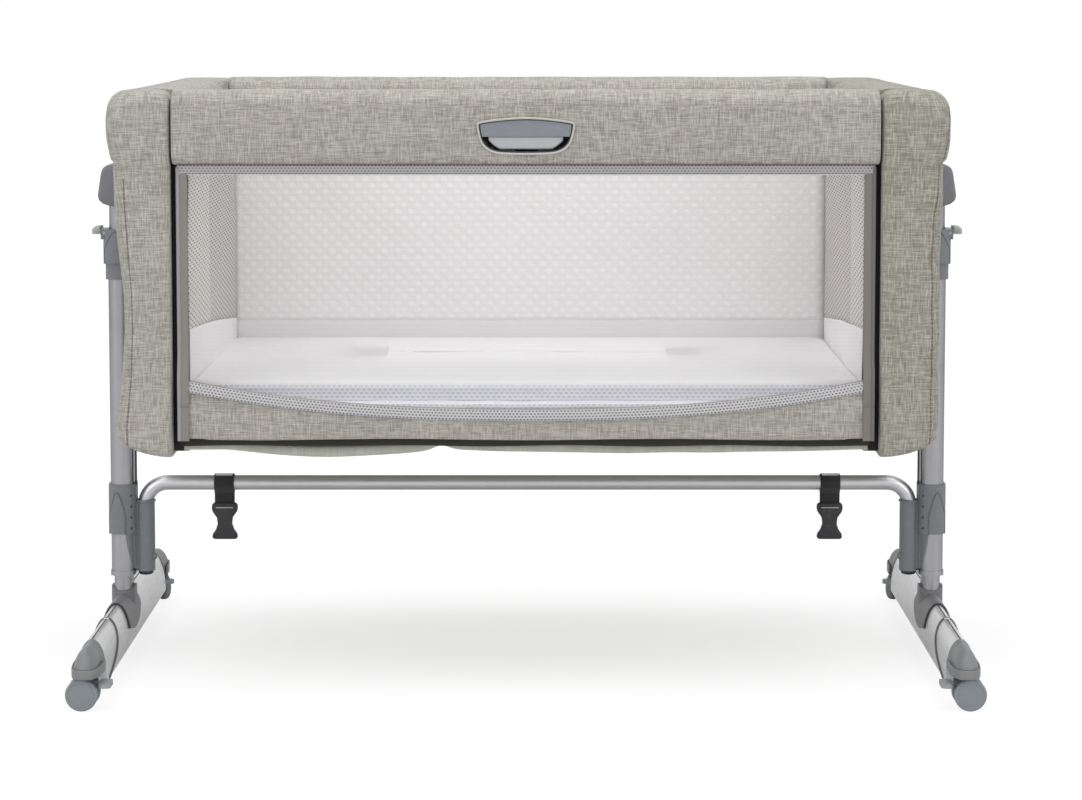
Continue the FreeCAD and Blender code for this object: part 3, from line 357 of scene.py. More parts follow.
def add(name, grid, material, slot, body, replaces=None, around=True, tips=True, **form):
    """A piece with its surface and material, what it replaces and its body; slot is not used.
    """
    made = surface(name, grid, around=around, tips=tips, **form)
    made.data.materials.append(material)
    if replaces:
        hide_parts(replaces)
    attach(made, body)
    return made


def full_turn(count):
    """Angles once round, without the last, which is the first again."""
    return np.linspace(0, 2 * np.pi, count, endpoint=False)


def carry(line, profile, up):
    """A profile of (side, up) points carried along a line of points.

    At each point the side way is the line's direction crossed with the up way, and the
    up way is made square to the line first.
    """
    line = np.asarray(line, float)
    way = np.gradient(line, axis=0)
    way /= np.linalg.norm(way, axis=1, keepdims=True)
    rise = np.broadcast_to(np.asarray(up, float), line.shape)
    rise = rise - (rise * way).sum(1, keepdims=True) * way
    rise = rise / np.linalg.norm(rise, axis=1, keepdims=True)
    side = np.cross(way, rise)
    profile = np.asarray(profile, float)
    return (line[:, None] + profile[None, :, :1] * side[:, None]
            + profile[None, :, 1:] * rise[:, None])


def ring(radius_a, radius_b=None, count=12):
    """Points of an ellipse, round once."""
    turn = full_turn(count)
    return np.stack([radius_a * np.cos(turn),
                     (radius_b or radius_a) * np.sin(turn)], axis=-1)


def foot_shell(side):
    """Half-ellipse section on a narrow flange, with a V groove along the ridge."""
    turn = np.concatenate([np.linspace(0, 1.45, 26), np.linspace(1.47, 1.67, 21),
                           np.linspace(1.69, np.pi, 26)])
    x = foot_half_width * np.cos(turn)
    z = foot_base + (foot_ridge - foot_base) * np.sin(turn)
    groove = np.clip(1 - np.abs(x) / 0.0010, 0, 1)
    z = z - 0.0016 * groove
    x = np.concatenate([x, [-foot_half_width + 0.002, foot_half_width - 0.002]])
    z = np.concatenate([z, [foot_base, foot_base]])
    y = np.linspace(-foot_half_length, foot_half_length, 60)
    return gridded(side * leg_x + x, y[:, None], z)


def foot_seam(side, radius):
    """The joint seam: over the ridge and down both flanks, running forward at the foot.

    Its distance forward grows with a high power of the angle from the ridge.
    """
    lean = np.linspace(-0.985, 0.985, 81)
    turn = np.pi / 2 * (1 + lean)
    line = gridded(side * leg_x + (foot_half_width + 0.0002) * np.cos(turn),
                   seam_y - 0.100 * np.abs(lean) ** 5.0,
                   foot_base + (foot_ridge - foot_base + 0.0002) * np.sin(turn))
    return carry(line, ring(radius, count=8), (0, 1, 0.02))


def toe_line(side, end, height):
    """The toe's rounded plan at a height: a superellipse from flank to flank."""
    turn = np.linspace(-0.99, 0.99, 61) * np.pi / 2
    return gridded(side * leg_x + 0.0164 * np.sign(turn) * np.abs(np.sin(turn)) ** 0.62,
                   end * (0.2700 + 0.0605 * np.cos(turn) ** 0.62), height)


foot_metal = metal("foot metal", rgb(226, 226, 228), (420, 14, 420), metallic=0.5,
                   wear=0.34, edge=0.35)
seam_dark = plastic("seam dark", rgb(96, 93, 92))
groove_shade_dark = plastic("groove shade dark", rgb(74, 72, 72))
toe_grey = plastic("toe grey", rgb(124, 126, 128), speckle=0.5)
lip_band = [[-0.0010, -0.0052], [0.0008, -0.0054], [0.0012, -0.0040], [0.0012, 0.0042],
            [0.0006, 0.0056], [-0.0010, 0.0056]]
for side, name in both_sides:
    add("foot_" + name, foot_shell(side), foot_metal, "beam_metal", "stand",
        replaces="foot_beam_" + name, sharp=35)
    # A dark rod laid in the ridge groove: painted shade for the shadow in the groove.
    line = gridded(side * leg_x, np.linspace(-foot_half_length, foot_half_length, 9),
                   foot_ridge - 0.0002)
    add("foot_ridge_" + name, carry(line, ring(0.0009, 0.0006, 8), (0, 0, 1)), groove_shade_dark,
        "toe_plastic", "stand")
    add("foot_seam_" + name, foot_seam(side, 0.0018), seam_dark, "toe_plastic", "stand")
    across = np.linspace(-0.0032, 0.0032, 9)
    line = gridded(side * leg_x + across, seam_y, foot_ridge + 0.0004 - 9.0 * across ** 2)
    add("foot_clip_" + name, carry(line, ring(0.0022, 0.0008), (0, 0, 1)), foot_metal,
        "beam_metal", "stand")
    for end, spot in ((-1, "front"), (1, "rear")):
        for part, height, profile, material in (
                ("lip", 0.0455, lip_band, toe_grey),
                ("groove", 0.0514, ring(0.0006, 0.0004, 8), seam_dark)):
            add("toe_%s_%s_%s" % (part, spot, name),
                carry(toe_line(side, end, height), profile, (0, 0, 1)), material,
                "toe_plastic", "stand")
dress(toe_grey, *["toe_cap_" + corner for corner in four_corners])


# ---------------------------------------------------------------- saddles and legs
# Speckled grey plastic saddles sit over the feet; a stub tube stands in each and the
# oval painted leg tube slides over it. A saddle has a black lip in front. A thin black
# strip beside the inner side of each leg, between bracket and body, is painted shade:
# it stands for the shadow side of the leg tube.
saddle_front = -0.0722


def saddle_edge(side):
    """The black lip between saddle and foot: a half ellipse over the ridge."""
    turn = np.linspace(0.43, np.pi - 0.43, 60)
    line = gridded(side * leg_x + (foot_half_width + 0.0010) * np.cos(turn), saddle_front,
                   foot_base + (foot_ridge + 0.0010 - foot_base) * np.sin(turn))
    return carry(line, ring(0.0012, count=8), (0, 1, 0))


saddle_grey = plastic("saddle grey", rgb(118, 118, 122), speckle=0.9, grain=900.0)
edge_black = plastic("edge black", rgb(42, 42, 44))
leg_paint = metal("leg paint", rgb(170, 170, 174), (700, 700, 10), metallic=0.85, wear=0.1,
                  edge=0.9)
bar_paint = metal("bar paint", rgb(208, 208, 211), (8, 600, 600), metallic=0.8, wear=0.1,
                  edge=0.8)
dress(saddle_grey, "leg_saddle_left", "leg_saddle_right")
dress(leg_paint, *[n + s for n in ("leg_tube", "leg_stub", "riser_tube")
                   for s in ("_left", "_right")])
dress(bar_paint, "crossbar")
for side, name in both_sides:
    add("saddle_edge_" + name, saddle_edge(side), edge_black, "saddle_plastic", "stand")
    # Painted shade: a thin black strip beside the leg's inner side, for the shadow side of the
    # tube.
    line = gridded(side * 0.4812, -0.0060, np.linspace(0.2080, 0.2960, 9))
    add("leg_shade_strip_" + name, carry(line, ring(0.0011, 0.0040, 10), (0, 1, 0)), edge_black,
        "saddle_plastic", "stand")


# ------------------------------------------------------- brackets, collars and levers
# Grey moulded brackets hold the crossbar's ends in sockets with a lip and a plug; stepped
# collars crown the leg tubes with a light squeeze lever outward. Each has a raised
# pointed panel on its faces. Hub covers hide the heads of the risers at the end walls.
bracket_grey = plastic("bracket grey", rgb(120, 123, 127), speckle=0.4)
arch_shade = plastic("arch shade", rgb(96, 99, 103), speckle=0.2)
collar_grey = plastic("collar grey", rgb(121, 124, 129), speckle=0.3)
lever_grey = plastic("lever grey", rgb(168, 169, 168), speckle=0.2)
screw_steel = metal("screw steel", rgb(96, 97, 100), (400, 400, 400), metallic=0.9)
dress(bracket_grey, "crossbar_bracket_left", "crossbar_bracket_right")
dress(collar_grey, "height_collar_left", "height_collar_right")
dress(lever_grey, "height_lever_left", "height_lever_right")
dress(screw_steel, "stand_screws", "hub_bolts", "caster_stems", "latch_bolt_left",
      "latch_bolt_right")


def tube_front(away, radius):
    """How far ahead of the leg's middle its mouldings lie, at a distance sideways.

    Their section is flat for 2 mm and then a quarter round of the radius.
    """
    bend = np.clip(np.abs(away) - 0.002, 0, radius)
    return 0.008 + np.sqrt(radius ** 2 - bend ** 2)


def arch_panel(side, face, radius, low, high, centre, half, thick):
    """A raised panel with a pointed arch top, laid on the round face of a moulding.

    Half its width is full up to the springing, then a power of the height that is left.
    """
    up = np.linspace(0, 1, 33)[:, None]
    wide = half * np.where(up < 0.45, 1.0, np.clip((1 - up) / 0.55, 0, 1) ** 0.62)
    across = np.linspace(-1, 1, 21)
    away = np.clip(centre + across * wide, -radius - 0.0015, radius + 0.0015)
    edge = np.clip((1 - np.abs(across)) / 0.12, 0, 1) * np.clip((1 - up) / 0.05, 0, 1)
    return gridded(side * (leg_x + away),
                   face * (tube_front(away, radius) - 0.0003 + thick * edge),
                   low + (high - low) * up)


def web_patch(side):
    """The bracket's web where it laps onto the leg: its edge runs out down the tube."""
    down = np.linspace(0, 1, 25)[:, None]
    across = np.linspace(0, 1, 9)
    start = 0.0049 + 0.0085 * down ** 1.6
    away = start + (0.0158 - start) * across
    edge = np.clip(across / 0.2, 0, 1)
    return gridded(side * (leg_x - away),
                   -(tube_front(np.minimum(away, 0.0139), 0.012) + 0.0012 * edge),
                   0.1500 - 0.0450 * down)


def peg(centre, way, radius, length):
    """A short round peg with a domed head: circles along its axis."""
    way = np.asarray(way, float) / np.linalg.norm(way)
    first = np.cross(way, (0, 0, 1.0))
    first /= np.linalg.norm(first)
    second = np.cross(way, first)
    turn = full_turn(14)
    steps = np.array([[0.0, 1.0], [0.6, 1.0], [0.85, 0.85], [1.0, 0.5]])
    circle = np.cos(turn)[:, None] * first + np.sin(turn)[:, None] * second
    return (np.asarray(centre) + steps[:, None, :1] * length * way
            + steps[:, None, 1:] * radius * circle[None])


def oblong(count, across, along):
    """Points of a rounded oblong: cosine and sine of the turn, each raised to a power."""
    turn = full_turn(count)
    return gridded(np.sign(np.cos(turn)) * np.abs(np.cos(turn)) ** across,
                   np.sign(np.sin(turn)) * np.abs(np.sin(turn)) ** along)


def lever_shell(side):
    """A rounded thumb pad on the lever: oval sections whose end is a quarter ellipse."""
    along = np.linspace(0, 1, 22)
    tip = np.sqrt(np.clip(1 - np.clip((along - 0.55) / 0.45, 0, 1) ** 2, 0.02, 1))
    flat = oblong(28, 0.5, 0.7)
    return gridded(side * (0.5206 + 0.0106 * along)[:, None],
                   0.0150 * tip[:, None] * flat[:, 0],
                   0.5228 + ((0.0050 - 0.0008 * along) * tip)[:, None] * flat[:, 1])


def hub_shell(side):
    """Hub cover: its outer face swells down to a round chin, and its edges are rounded."""
    down = np.linspace(0, 1, 40)
    station = [0, 0.03, 0.10, 0.20, 0.35, 0.74, 0.86, 0.95, 1.0]
    reach = [0.0440, 0.0500, 0.0540, 0.0560, 0.0572, 0.0602, 0.0590, 0.0535, 0.0460]
    out = np.interp(down, station, reach)
    z = 0.6040 - 0.0510 * down
    line = np.concatenate([gridded(0.4613 + out, z),
                           gridded(0.4600, np.linspace(0.5530, 0.6040, 12))])
    y = np.array([-0.0270, -0.0266, -0.0255, -0.0235, -0.02, 0.02, 0.0235, 0.0255, 0.0266,
                  0.0270])
    inset = np.array([0.12, 0.06, 0.022, 0.004, 0, 0, 0.004, 0.022, 0.06, 0.12])
    middle = np.array([0.4850, 0.5785])
    shaped = line[None] + (middle - line)[None] * inset[:, None, None]
    return gridded(side * shaped[..., 0], y[:, None], shaped[..., 1])


hub_grey = plastic("hub grey", rgb(122, 121, 127), speckle=0.3)
rivet_away = 0.0117      # from the leg's middle, inwards
socket_x = 0.471
for side, name in both_sides:
    for face, spot in ((-1, "front"), (1, "rear")):
        for part, radius, low, high, centre, half, material, slot in (
                ("bracket", 0.0148, 0.1492, 0.2010, 0.0050, 0.0128, bracket_grey,
                 "bracket_plastic"),
                ("collar", 0.0175, 0.4835, 0.5215, 0.0030, 0.0170, collar_grey,
                 "collar_plastic")):
            grid = arch_panel(side, face, radius, low, high, centre, half, 0.0012)
            add("%s_panel_%s_%s" % (part, spot, name), grid, material, slot, "stand",
                around=False, tips=False)
            line = np.concatenate([grid[:, 2], grid[::-1, -3]])
            add("%s_arch_%s_%s" % (part, spot, name),
                carry(line, ring(0.0006, 0.0006, 6), (0, 1, 0)), arch_shade, slot, "stand")
    add("bracket_web_" + name, web_patch(side), bracket_grey, "bracket_plastic", "stand",
        around=False, tips=False)
    for i, z in enumerate(np.linspace(0.1560, 0.1965, 4)):
        at = (side * (leg_x - rivet_away), -tube_front(rivet_away, 0.0148) + 0.0010, z)
        add("bracket_rivet_%d_%s" % (i, name),
            peg(at, (-side * 0.65, -0.76, 0), 0.0013, 0.0018), edge_black,
            "bracket_plastic", "stand")
    socket = np.array([side * socket_x, 0.0, 0.0])
    turn = np.linspace(0, 2 * np.pi, 41)
    line = socket + gridded(0.0118 * np.cos(turn), 0.0118 * np.sin(turn), 0.1878)
    add("socket_lip_" + name, carry(line, ring(0.0011, 0.0014, 8), (0, 0, 1)), bracket_grey,
        "bracket_plastic", "stand", tips=False)
    for part, at, way, radius, length, material in (
            ("plug", socket + (0, 0, 0.1015), (0, 0.0001, -1), 0.0092, 0.0060, edge_black),
            ("catch", (side * 0.4615, -0.0030, 0.1190), (-side, -0.2, 0), 0.0042, 0.0046,
             bracket_grey)):
        add("socket_%s_%s" % (part, name), peg(at, way, radius, length), material,
            "bracket_plastic", "stand")
    add("lever_pad_" + name, lever_shell(side), lever_grey, "lever_plastic", "lever_" + name)
    add("hub_shell_" + name, hub_shell(side), hub_grey, "hub_plastic", "crib_body",
        replaces="hub_cover_" + name, sharp=60)


# --------------------------------------------------------------------------- casters
# Twin-wheel casters: grey nylon discs with a raised rim round a dished face, on a
# hood with its swivel stem, and a brake pedal in front.
wheel_radius = 0.0185
stem_y = 0.300           # how far the stems stand from the middle, front and rear
trail = 0.005            # from stem to axle
wheel_grey = plastic("wheel grey", rgb(135, 140, 146), speckle=0.2)
tread_dark = plastic("tread dark", rgb(92, 95, 100), speckle=0.2)
dress(tread_dark, *["caster_hood_" + corner for corner in four_corners])
dress(plastic("pedal grey", rgb(150, 153, 154), speckle=0.3),
      *["brake_pedal_" + corner for corner in four_corners])


def disc_wheel(centre, along, out):
    """A wheel as a turned profile: flat tread, rolled shoulder, raised rim, dished face.

    The profile of (radius, distance outward) goes round the axle's direction.
    """
    profile = np.array([[0.0025, 0.0070], [0.0025, 0.0072], [0.0165, 0.0072],
                        [0.0180, 0.0078], [0.0185, 0.0090], [0.0185, 0.0128],
                        [0.0181, 0.0142], [0.0172, 0.0150], [0.0160, 0.0152],
                        [0.0153, 0.0149], [0.0149, 0.0142], [0.0145, 0.0140],
                        [0.0095, 0.0146], [0.0040, 0.0149], [0.0004, 0.0150]])
    turn = full_turn(40)
    axle = np.array([-along[1], along[0], 0.0]) * out
    flat = np.array([along[0], along[1], 0.0])
    rise = np.array([0.0, 0.0, 1.0])
    return (centre + profile[:, None, 1:] * axle
            + profile[:, None, :1] * (np.cos(turn)[None, :, None] * flat
                                      + np.sin(turn)[None, :, None] * rise))


for end, ahead, turned in (("front", -1, 0.0), ("rear", 1, -59.0)):
    for name, side in (("left", -1), ("right", 1)):
        angle = math.radians(turned if side < 0 else 180 - turned)
        along = np.array([math.cos(angle), math.sin(angle)])
        hub = np.array([side * leg_x - trail * along[0],
                        ahead * stem_y - trail * along[1], wheel_radius])
        tail = "_%s_%s" % (end, name)
        for out, which, instead in ((1, "a", "caster_wheels" + tail), (-1, "b", None)):
            add("wheel%s_%s" % (tail, which), disc_wheel(hub, along, out), wheel_grey,
                "wheel_plastic", "wheels" + tail, replaces=instead, sharp=50)


# ------------------------------------------------------------------ straps and buckles
# Black polyester webbing loops round the crossbar; each holds the female half of a
# side-release buckle, and a small pale slider pinches the doubled webbing on the bar.
strap_x = 0.373
bar_z = 0.210
strap_half = 0.0122


def webbing_material(name, colour, pale):
    """Plain-woven webbing: ribs along the weft and a fine herringbone of the warp."""
    made, tree = empty_material(name)
    where = put(tree, "UVMap", uv_map="cloth").outputs[0]
    ribs = put(tree, "TexWave", {"Vector": where, "Scale": 210.0, "Distortion": 0.6,
                                 "Detail": 1.0}, wave_type="BANDS", bands_direction="Y")
    warp = put(tree, "TexWave", {"Vector": where, "Scale": 320.0, "Distortion": 1.2,
                                 "Detail": 1.0}, wave_type="BANDS", bands_direction="X")
    fuzz = put(tree, "TexNoise", {"Vector": where, "Scale": 900.0, "Detail": 3.0})
    height = math_node(tree, "MULTIPLY", ribs.outputs["Fac"], warp.outputs["Fac"])
    share = math_node(tree, "MULTIPLY_ADD", height, 0.5, 0.1)
    share = math_node(tree, "MULTIPLY", share, fuzz.outputs["Fac"])
    shaded(tree, height, 0.0003, {"Base Color": mixed(tree, share, colour, pale),
                                  "Roughness": 0.8, "Sheen Weight": 0.2})
    return made


def line_length(line):
    """Lengths along a line of points, from 0 at its first point."""
    return np.concatenate([[0], np.cumsum(np.linalg.norm(np.diff(line, axis=0), axis=1))])


def strap_line(radius):
    """Once round the crossbar and straight down, as (y, z): front leg, over, back leg."""
    foot = bar_z - 0.0335
    turn = np.linspace(math.radians(-28), math.radians(208), 34)
    arc = np.stack([-radius * np.cos(turn), bar_z + radius * np.sin(turn)], axis=-1)
    down = np.linspace(0, 1, 14)[1:, None]
    neck = np.array([-0.0010, bar_z - 0.014])
    front = arc[0] + (neck - arc[0]) * np.linspace(0, 1, 6)[1:, None]
    front = np.concatenate([front, neck + (np.array([-0.0010, foot]) - neck) * down])
    back = front * np.array([-1.0, 1.0])
    return np.concatenate([front[::-1], arc, back])


def strap_shell(x):
    """Webbing 1.7 mm thick and 24 mm wide carried along its line, with soft selvedges."""
    line = strap_line(0.0103)
    way = np.gradient(line, axis=0)
    way /= np.linalg.norm(way, axis=1, keepdims=True)
    out = np.stack([-way[:, 1], way[:, 0]], axis=-1)
    half, thick = strap_half, 0.00075
    profile = np.array([[-half, 0.3], [-half * 0.97, 1], [-half * 0.5, 1.05], [0, 1],
                        [half * 0.5, 1.05], [half * 0.97, 1], [half, 0.3], [half, -0.3],
                        [half * 0.97, -1], [0, -1], [-half * 0.97, -1], [-half, -0.3]])
    grid = np.empty((len(line), len(profile), 3))
    grid[..., 0] = x + profile[:, 0]
    grid[..., 1:] = line[:, None] + out[:, None] * (profile[:, 1:] * thick)
    length = line_length(line)
    return grid, gridded(np.append(profile[:, 0], profile[0, 0]), length[:, None])


def buckle_shell(x):
    """Female buckle body: shouldered top, waist with side windows, flared foot.

    Half the width follows smooth steps down the height; the section is a soft oblong.
    """
    top, low = 0.1845, 0.140
    drop = np.linspace(0, 1, 46)
    station = [0, 0.05, 0.16, 0.24, 0.40, 0.58, 0.74, 0.86, 0.95, 1.0]
    wide = [0.0140, 0.0158, 0.0160, 0.0150, 0.0098, 0.0088, 0.0112, 0.0150, 0.0158, 0.0140]
    deep = [0.0040, 0.0052, 0.0056, 0.0062, 0.0064, 0.0064, 0.0062, 0.0056, 0.0050, 0.0042]
    half = np.interp(drop, station, wide)
    thick = np.interp(drop, station, deep)
    shape = oblong(36, 0.45, 0.45)
    grid = gridded(x + half[:, None] * shape[:, 0], thick[:, None] * shape[:, 1],
                   (top - (top - low) * drop)[:, None])
    ridge = np.exp(-((drop - 0.12) / 0.03) ** 2) * 0.0009
    grid[..., 1] += np.sign(shape[:, 1]) * ridge[:, None] * (np.abs(shape[:, 0]) < 0.9)
    return grid


black_webbing = webbing_material("black webbing", rgb(30, 27, 31), rgb(70, 66, 72))
buckle_black = plastic("buckle black", rgb(46, 45, 50), speckle=0.2)
slider_and_highlight_pale = plastic("slider pale and painted highlight", rgb(196, 197, 200), speckle=0.15)
for side, name in both_sides:
    x = side * strap_x
    grid, uv = strap_shell(x)
    body = "strap_" + name
    add(body, grid, black_webbing, "webbing", body, replaces="bed_strap_" + name, uv=uv)
    add("buckle_" + name, buckle_shell(x), buckle_black, "buckle_plastic", body,
        replaces="strap_buckle_" + name, sharp=50)
    # A pale line across the top of the buckle: painted highlight. The same pale plastic is the
    # slider's own colour.
    line = gridded(np.linspace(x - 0.0105, x + 0.0105, 9), -0.0058, 0.1795)
    add("buckle_highlight_line_" + name, carry(line, ring(0.0008, 0.0006), (0, 0, 1)), slider_and_highlight_pale,
        "buckle_plastic", body)
    line = gridded(np.linspace(x - 0.0102, x + 0.0102, 14), -0.0050, bar_z + 0.0108)
    add("strap_slider_" + name, carry(line, ring(0.0026, 0.0014), (0, 0, 1)), slider_and_highlight_pale,
        "buckle_plastic", body)


# -------------------------------------------------------------- frames, posts and board
# Bent and welded steel tubes inside the covers, guide posts for the drop side, and a
# birch-faced board under the mattress.
steel = metal("frame steel", rgb(150, 152, 155), (260, 260, 260), metallic=0.8)
dress(steel, "rim_frame", "base_frame", "guide_posts", "drop_rail_tube")
dress(plastic("runner grey", rgb(60, 62, 65)), "rail_sliders")


def wood_material(name, pale, dark):
    """Rotary-cut veneer: wandering growth lines along the board, with short pores."""
    made, tree = empty_material(name)
    where = put(tree, "TexCoord").outputs["Object"]
    drawn = put(tree, "Mapping", {"Vector": where, "Scale": (3.0, 26.0, 26.0)}).outputs[0]
    rings = put(tree, "TexNoise", {"Vector": drawn, "Scale": 1.6, "Detail": 5.0,
                                   "Distortion": 1.4})
    thin = put(tree, "Mapping", {"Vector": where, "Scale": (90.0, 900.0, 900.0)}).outputs[0]
    pores = put(tree, "TexNoise", {"Vector": thin, "Scale": 1.0, "Detail": 2.0})
    share = math_node(tree, "MULTIPLY_ADD", pores.outputs["Fac"], 0.4, 0.1)
    share = math_node(tree, "MULTIPLY_ADD", rings.outputs["Fac"], 0.7, share, clamp=True)
    shaded(tree, pores.outputs["Fac"], 0.0001, {
        "Base Color": mixed(tree, share, pale, dark), "Roughness": 0.6})
    return made


dress(wood_material("birch board", rgb(196, 170, 132), rgb(146, 116, 80)), "base_board")


# --------------------------------------------------------------------- end covers
# Each end is a padded linen-look cover: front post, wall and a thick rolled rim in one
# closed shell, sewn with a vertical seam near the post's outer edge and a crease under
# the roll. Thread seams show as a fine darker line.
post_x = 0.401
wall_in = 0.387
notch_y = -0.238
body_y = 0.285
rim_z = 0.701

# Linen-look weave: slubs both ways, long and thin, over a fine plain weave.
linen, takes, gives = new_group(
    "linen weave",
    [("Place", "Vector", None), ("Light", "Color", (0.5, 0.5, 0.45, 1)),
     ("Dark", "Color", (0.25, 0.25, 0.2, 1)), ("Slub", "Float", 1.0)],
    look)


def stretched_noise(tree, place, scale, detail=2.0, shift=0.0):
    """Noise drawn out along the way whose number is small."""
    drawn = put(tree, "Mapping", {"Vector": place, "Scale": scale,
                                  "Location": (shift, shift, shift)}).outputs[0]
    return put(tree, "TexNoise", {"Vector": drawn, "Scale": 1.0, "Detail": detail,
                                  "Roughness": 0.6}).outputs["Fac"]


place = takes.outputs["Place"]
warp = stretched_noise(linen, place, (800, 55, 1), shift=3.1)
weft = stretched_noise(linen, place, (55, 800, 1), shift=7.7)
thick_warp = stretched_noise(linen, place, (680, 70, 1), detail=1.0, shift=12.3)
thick_weft = stretched_noise(linen, place, (70, 680, 1), detail=1.0, shift=21.9)
cloud = stretched_noise(linen, place, (22, 22, 1), shift=5.5)
slubs = math_node(linen, "ADD", warp, weft)
rare = math_node(linen, "ADD", thick_warp, thick_weft)
total = math_node(linen, "MULTIPLY_ADD", rare, 0.30, slubs)
total = math_node(linen, "MULTIPLY_ADD", cloud, 0.16, total)
total = math_node(linen, "SUBTRACT", total, 1.38)
total = math_node(linen, "MULTIPLY", total, takes.outputs["Slub"])
share = math_node(linen, "MULTIPLY_ADD", total, 1.7, 0.50, clamp=True)
bright = [put(linen, "MapRange", {"Value": run, "From Min": 0.56, "From Max": 0.72},
              interpolation_type="SMOOTHSTEP").outputs[0] for run in (thick_warp, thick_weft)]
bright = math_node(linen, "MULTIPLY", math_node(linen, "MAXIMUM", *bright), 0.34)
woven = mixed(linen, share, takes.outputs["Dark"], takes.outputs["Light"])
yarn = math_node(linen, "MULTIPLY", *[
    put(linen, "TexWave", {"Vector": place, "Scale": 290.0, "Distortion": 0.8, "Detail": 1.0},
        wave_type="BANDS", bands_direction=way).outputs["Fac"] for way in "XY"])
hand_out(linen, gives, Color=mixed(linen, bright, woven, rgb(208, 206, 198)),
         Rough=math_node(linen, "MULTIPLY_ADD", share, -0.08, 0.92),
         Height=math_node(linen, "MULTIPLY_ADD", share, 0.8, yarn))


def linen_material(name, light, dark, slub=1.0, object_place=False, seam=None):
    """Linen-look polyester with its slubs, soft sheen and woven relief.

    seam, where given, is where a sewn line stands across, how far it drifts outward
    between the heights 0.56 and 0.68, and the height it ends at.
    """
    made, tree = empty_material(name)
    if object_place:
        where = put(tree, "TexCoord").outputs["Object"]
    else:
        where = put(tree, "UVMap", uv_map="cloth").outputs[0]
    body = put(tree, "Group", {"Place": where, "Light": light, "Dark": dark,
                               "Slub": slub}, node_tree=linen)
    colour, height = body.outputs["Color"], body.outputs["Height"]
    if seam is not None:
        split = put(tree, "SeparateXYZ", {0: where})
        drift = put(tree, "MapRange", {"Value": split.outputs[1], "From Min": 0.56,
                                       "From Max": 0.68, "To Min": seam[0],
                                       "To Max": seam[0] + seam[1]}).outputs[0]
        off = math_node(tree, "ABSOLUTE", math_node(tree, "SUBTRACT", split.outputs[0], drift))
        line = put(tree, "MapRange", {"Value": off, "From Min": 0.0011, "From Max": 0.0004},
                   interpolation_type="SMOOTHSTEP").outputs[0]
        below = math_node(tree, "LESS_THAN", split.outputs[1], seam[2])
        stitch = put(tree, "TexWave", {"Vector": where, "Scale": 62.0, "Distortion": 0.4},
                     wave_type="BANDS", bands_direction="Y").outputs["Fac"]
        line = math_node(tree, "MULTIPLY", line, below)
        dashed = math_node(tree, "MULTIPLY_ADD", stitch, 0.45, 0.35)
        dashed = math_node(tree, "MULTIPLY", line, dashed)
        colour = mixed(tree, dashed, colour, rgb(84, 74, 64))
        height = math_node(tree, "MULTIPLY_ADD", line, -2.5, height)
    shaded(tree, height, 0.00028, {
        "Base Color": colour, "Roughness": body.outputs["Rough"], "Sheen Weight": 0.15,
        "Sheen Roughness": 0.5, "Specular IOR Level": 0.2}, strength=0.8)
    return made


def ripple(a, b, seed, size):
    """Soft unevenness of padding: a sum of seven slow waves in seeded directions."""
    pick = np.random.default_rng(seed)
    total = np.zeros(np.broadcast(a, b).shape)
    for turn, long, phase in zip(pick.uniform(0, 2 * np.pi, 7), pick.uniform(0.045, 0.16, 7),
                                 pick.uniform(0, 2 * np.pi, 7)):
        total += np.sin((a * np.cos(turn) + b * np.sin(turn)) * 2 * np.pi / long + phase)
    return total * size / 7


def corner_walk(corners, radii, step):
    """A closed outline with each corner rounded by an arc, sampled about every step."""
    corners = np.asarray(corners, float)
    out = []
    for k, corner in enumerate(corners):
        following = corners[(k + 1) % len(corners)]
        before, after = corners[k - 1] - corner, following - corner
        before /= np.linalg.norm(before)
        after /= np.linalg.norm(after)
        radius = radii[k]
        leave = corner + after * radius
        centre = corner + (before + after) * radius
        count = max(3, int(radius * 1.57 / step * 1.6))
        turn = np.linspace(0, np.pi / 2, count)[:, None]
        out.append(centre - after * radius * np.cos(turn) - before * radius * np.sin(turn))
        back = corner - following
        arrive = following + back / np.linalg.norm(back) * radii[(k + 1) % len(corners)]
        count = max(2, int(np.linalg.norm(arrive - leave) / step))
        out.append(leave + (arrive - leave) * np.linspace(0, 1, count + 1)[1:-1, None])
    return np.concatenate(out)


def round_length(outline):
    """Lengths along a closed outline, from its first point round to it again."""
    return line_length(np.concatenate([outline, outline[:1]]))


def underside(x):
    """Height of an end cover's lower edge: a quarter ellipse that rises outwards."""
    return 0.324 - 0.038 * np.sqrt(np.clip(1 - (np.clip(x - 0.400, 0, 1) / 0.066) ** 2, 0, 1))


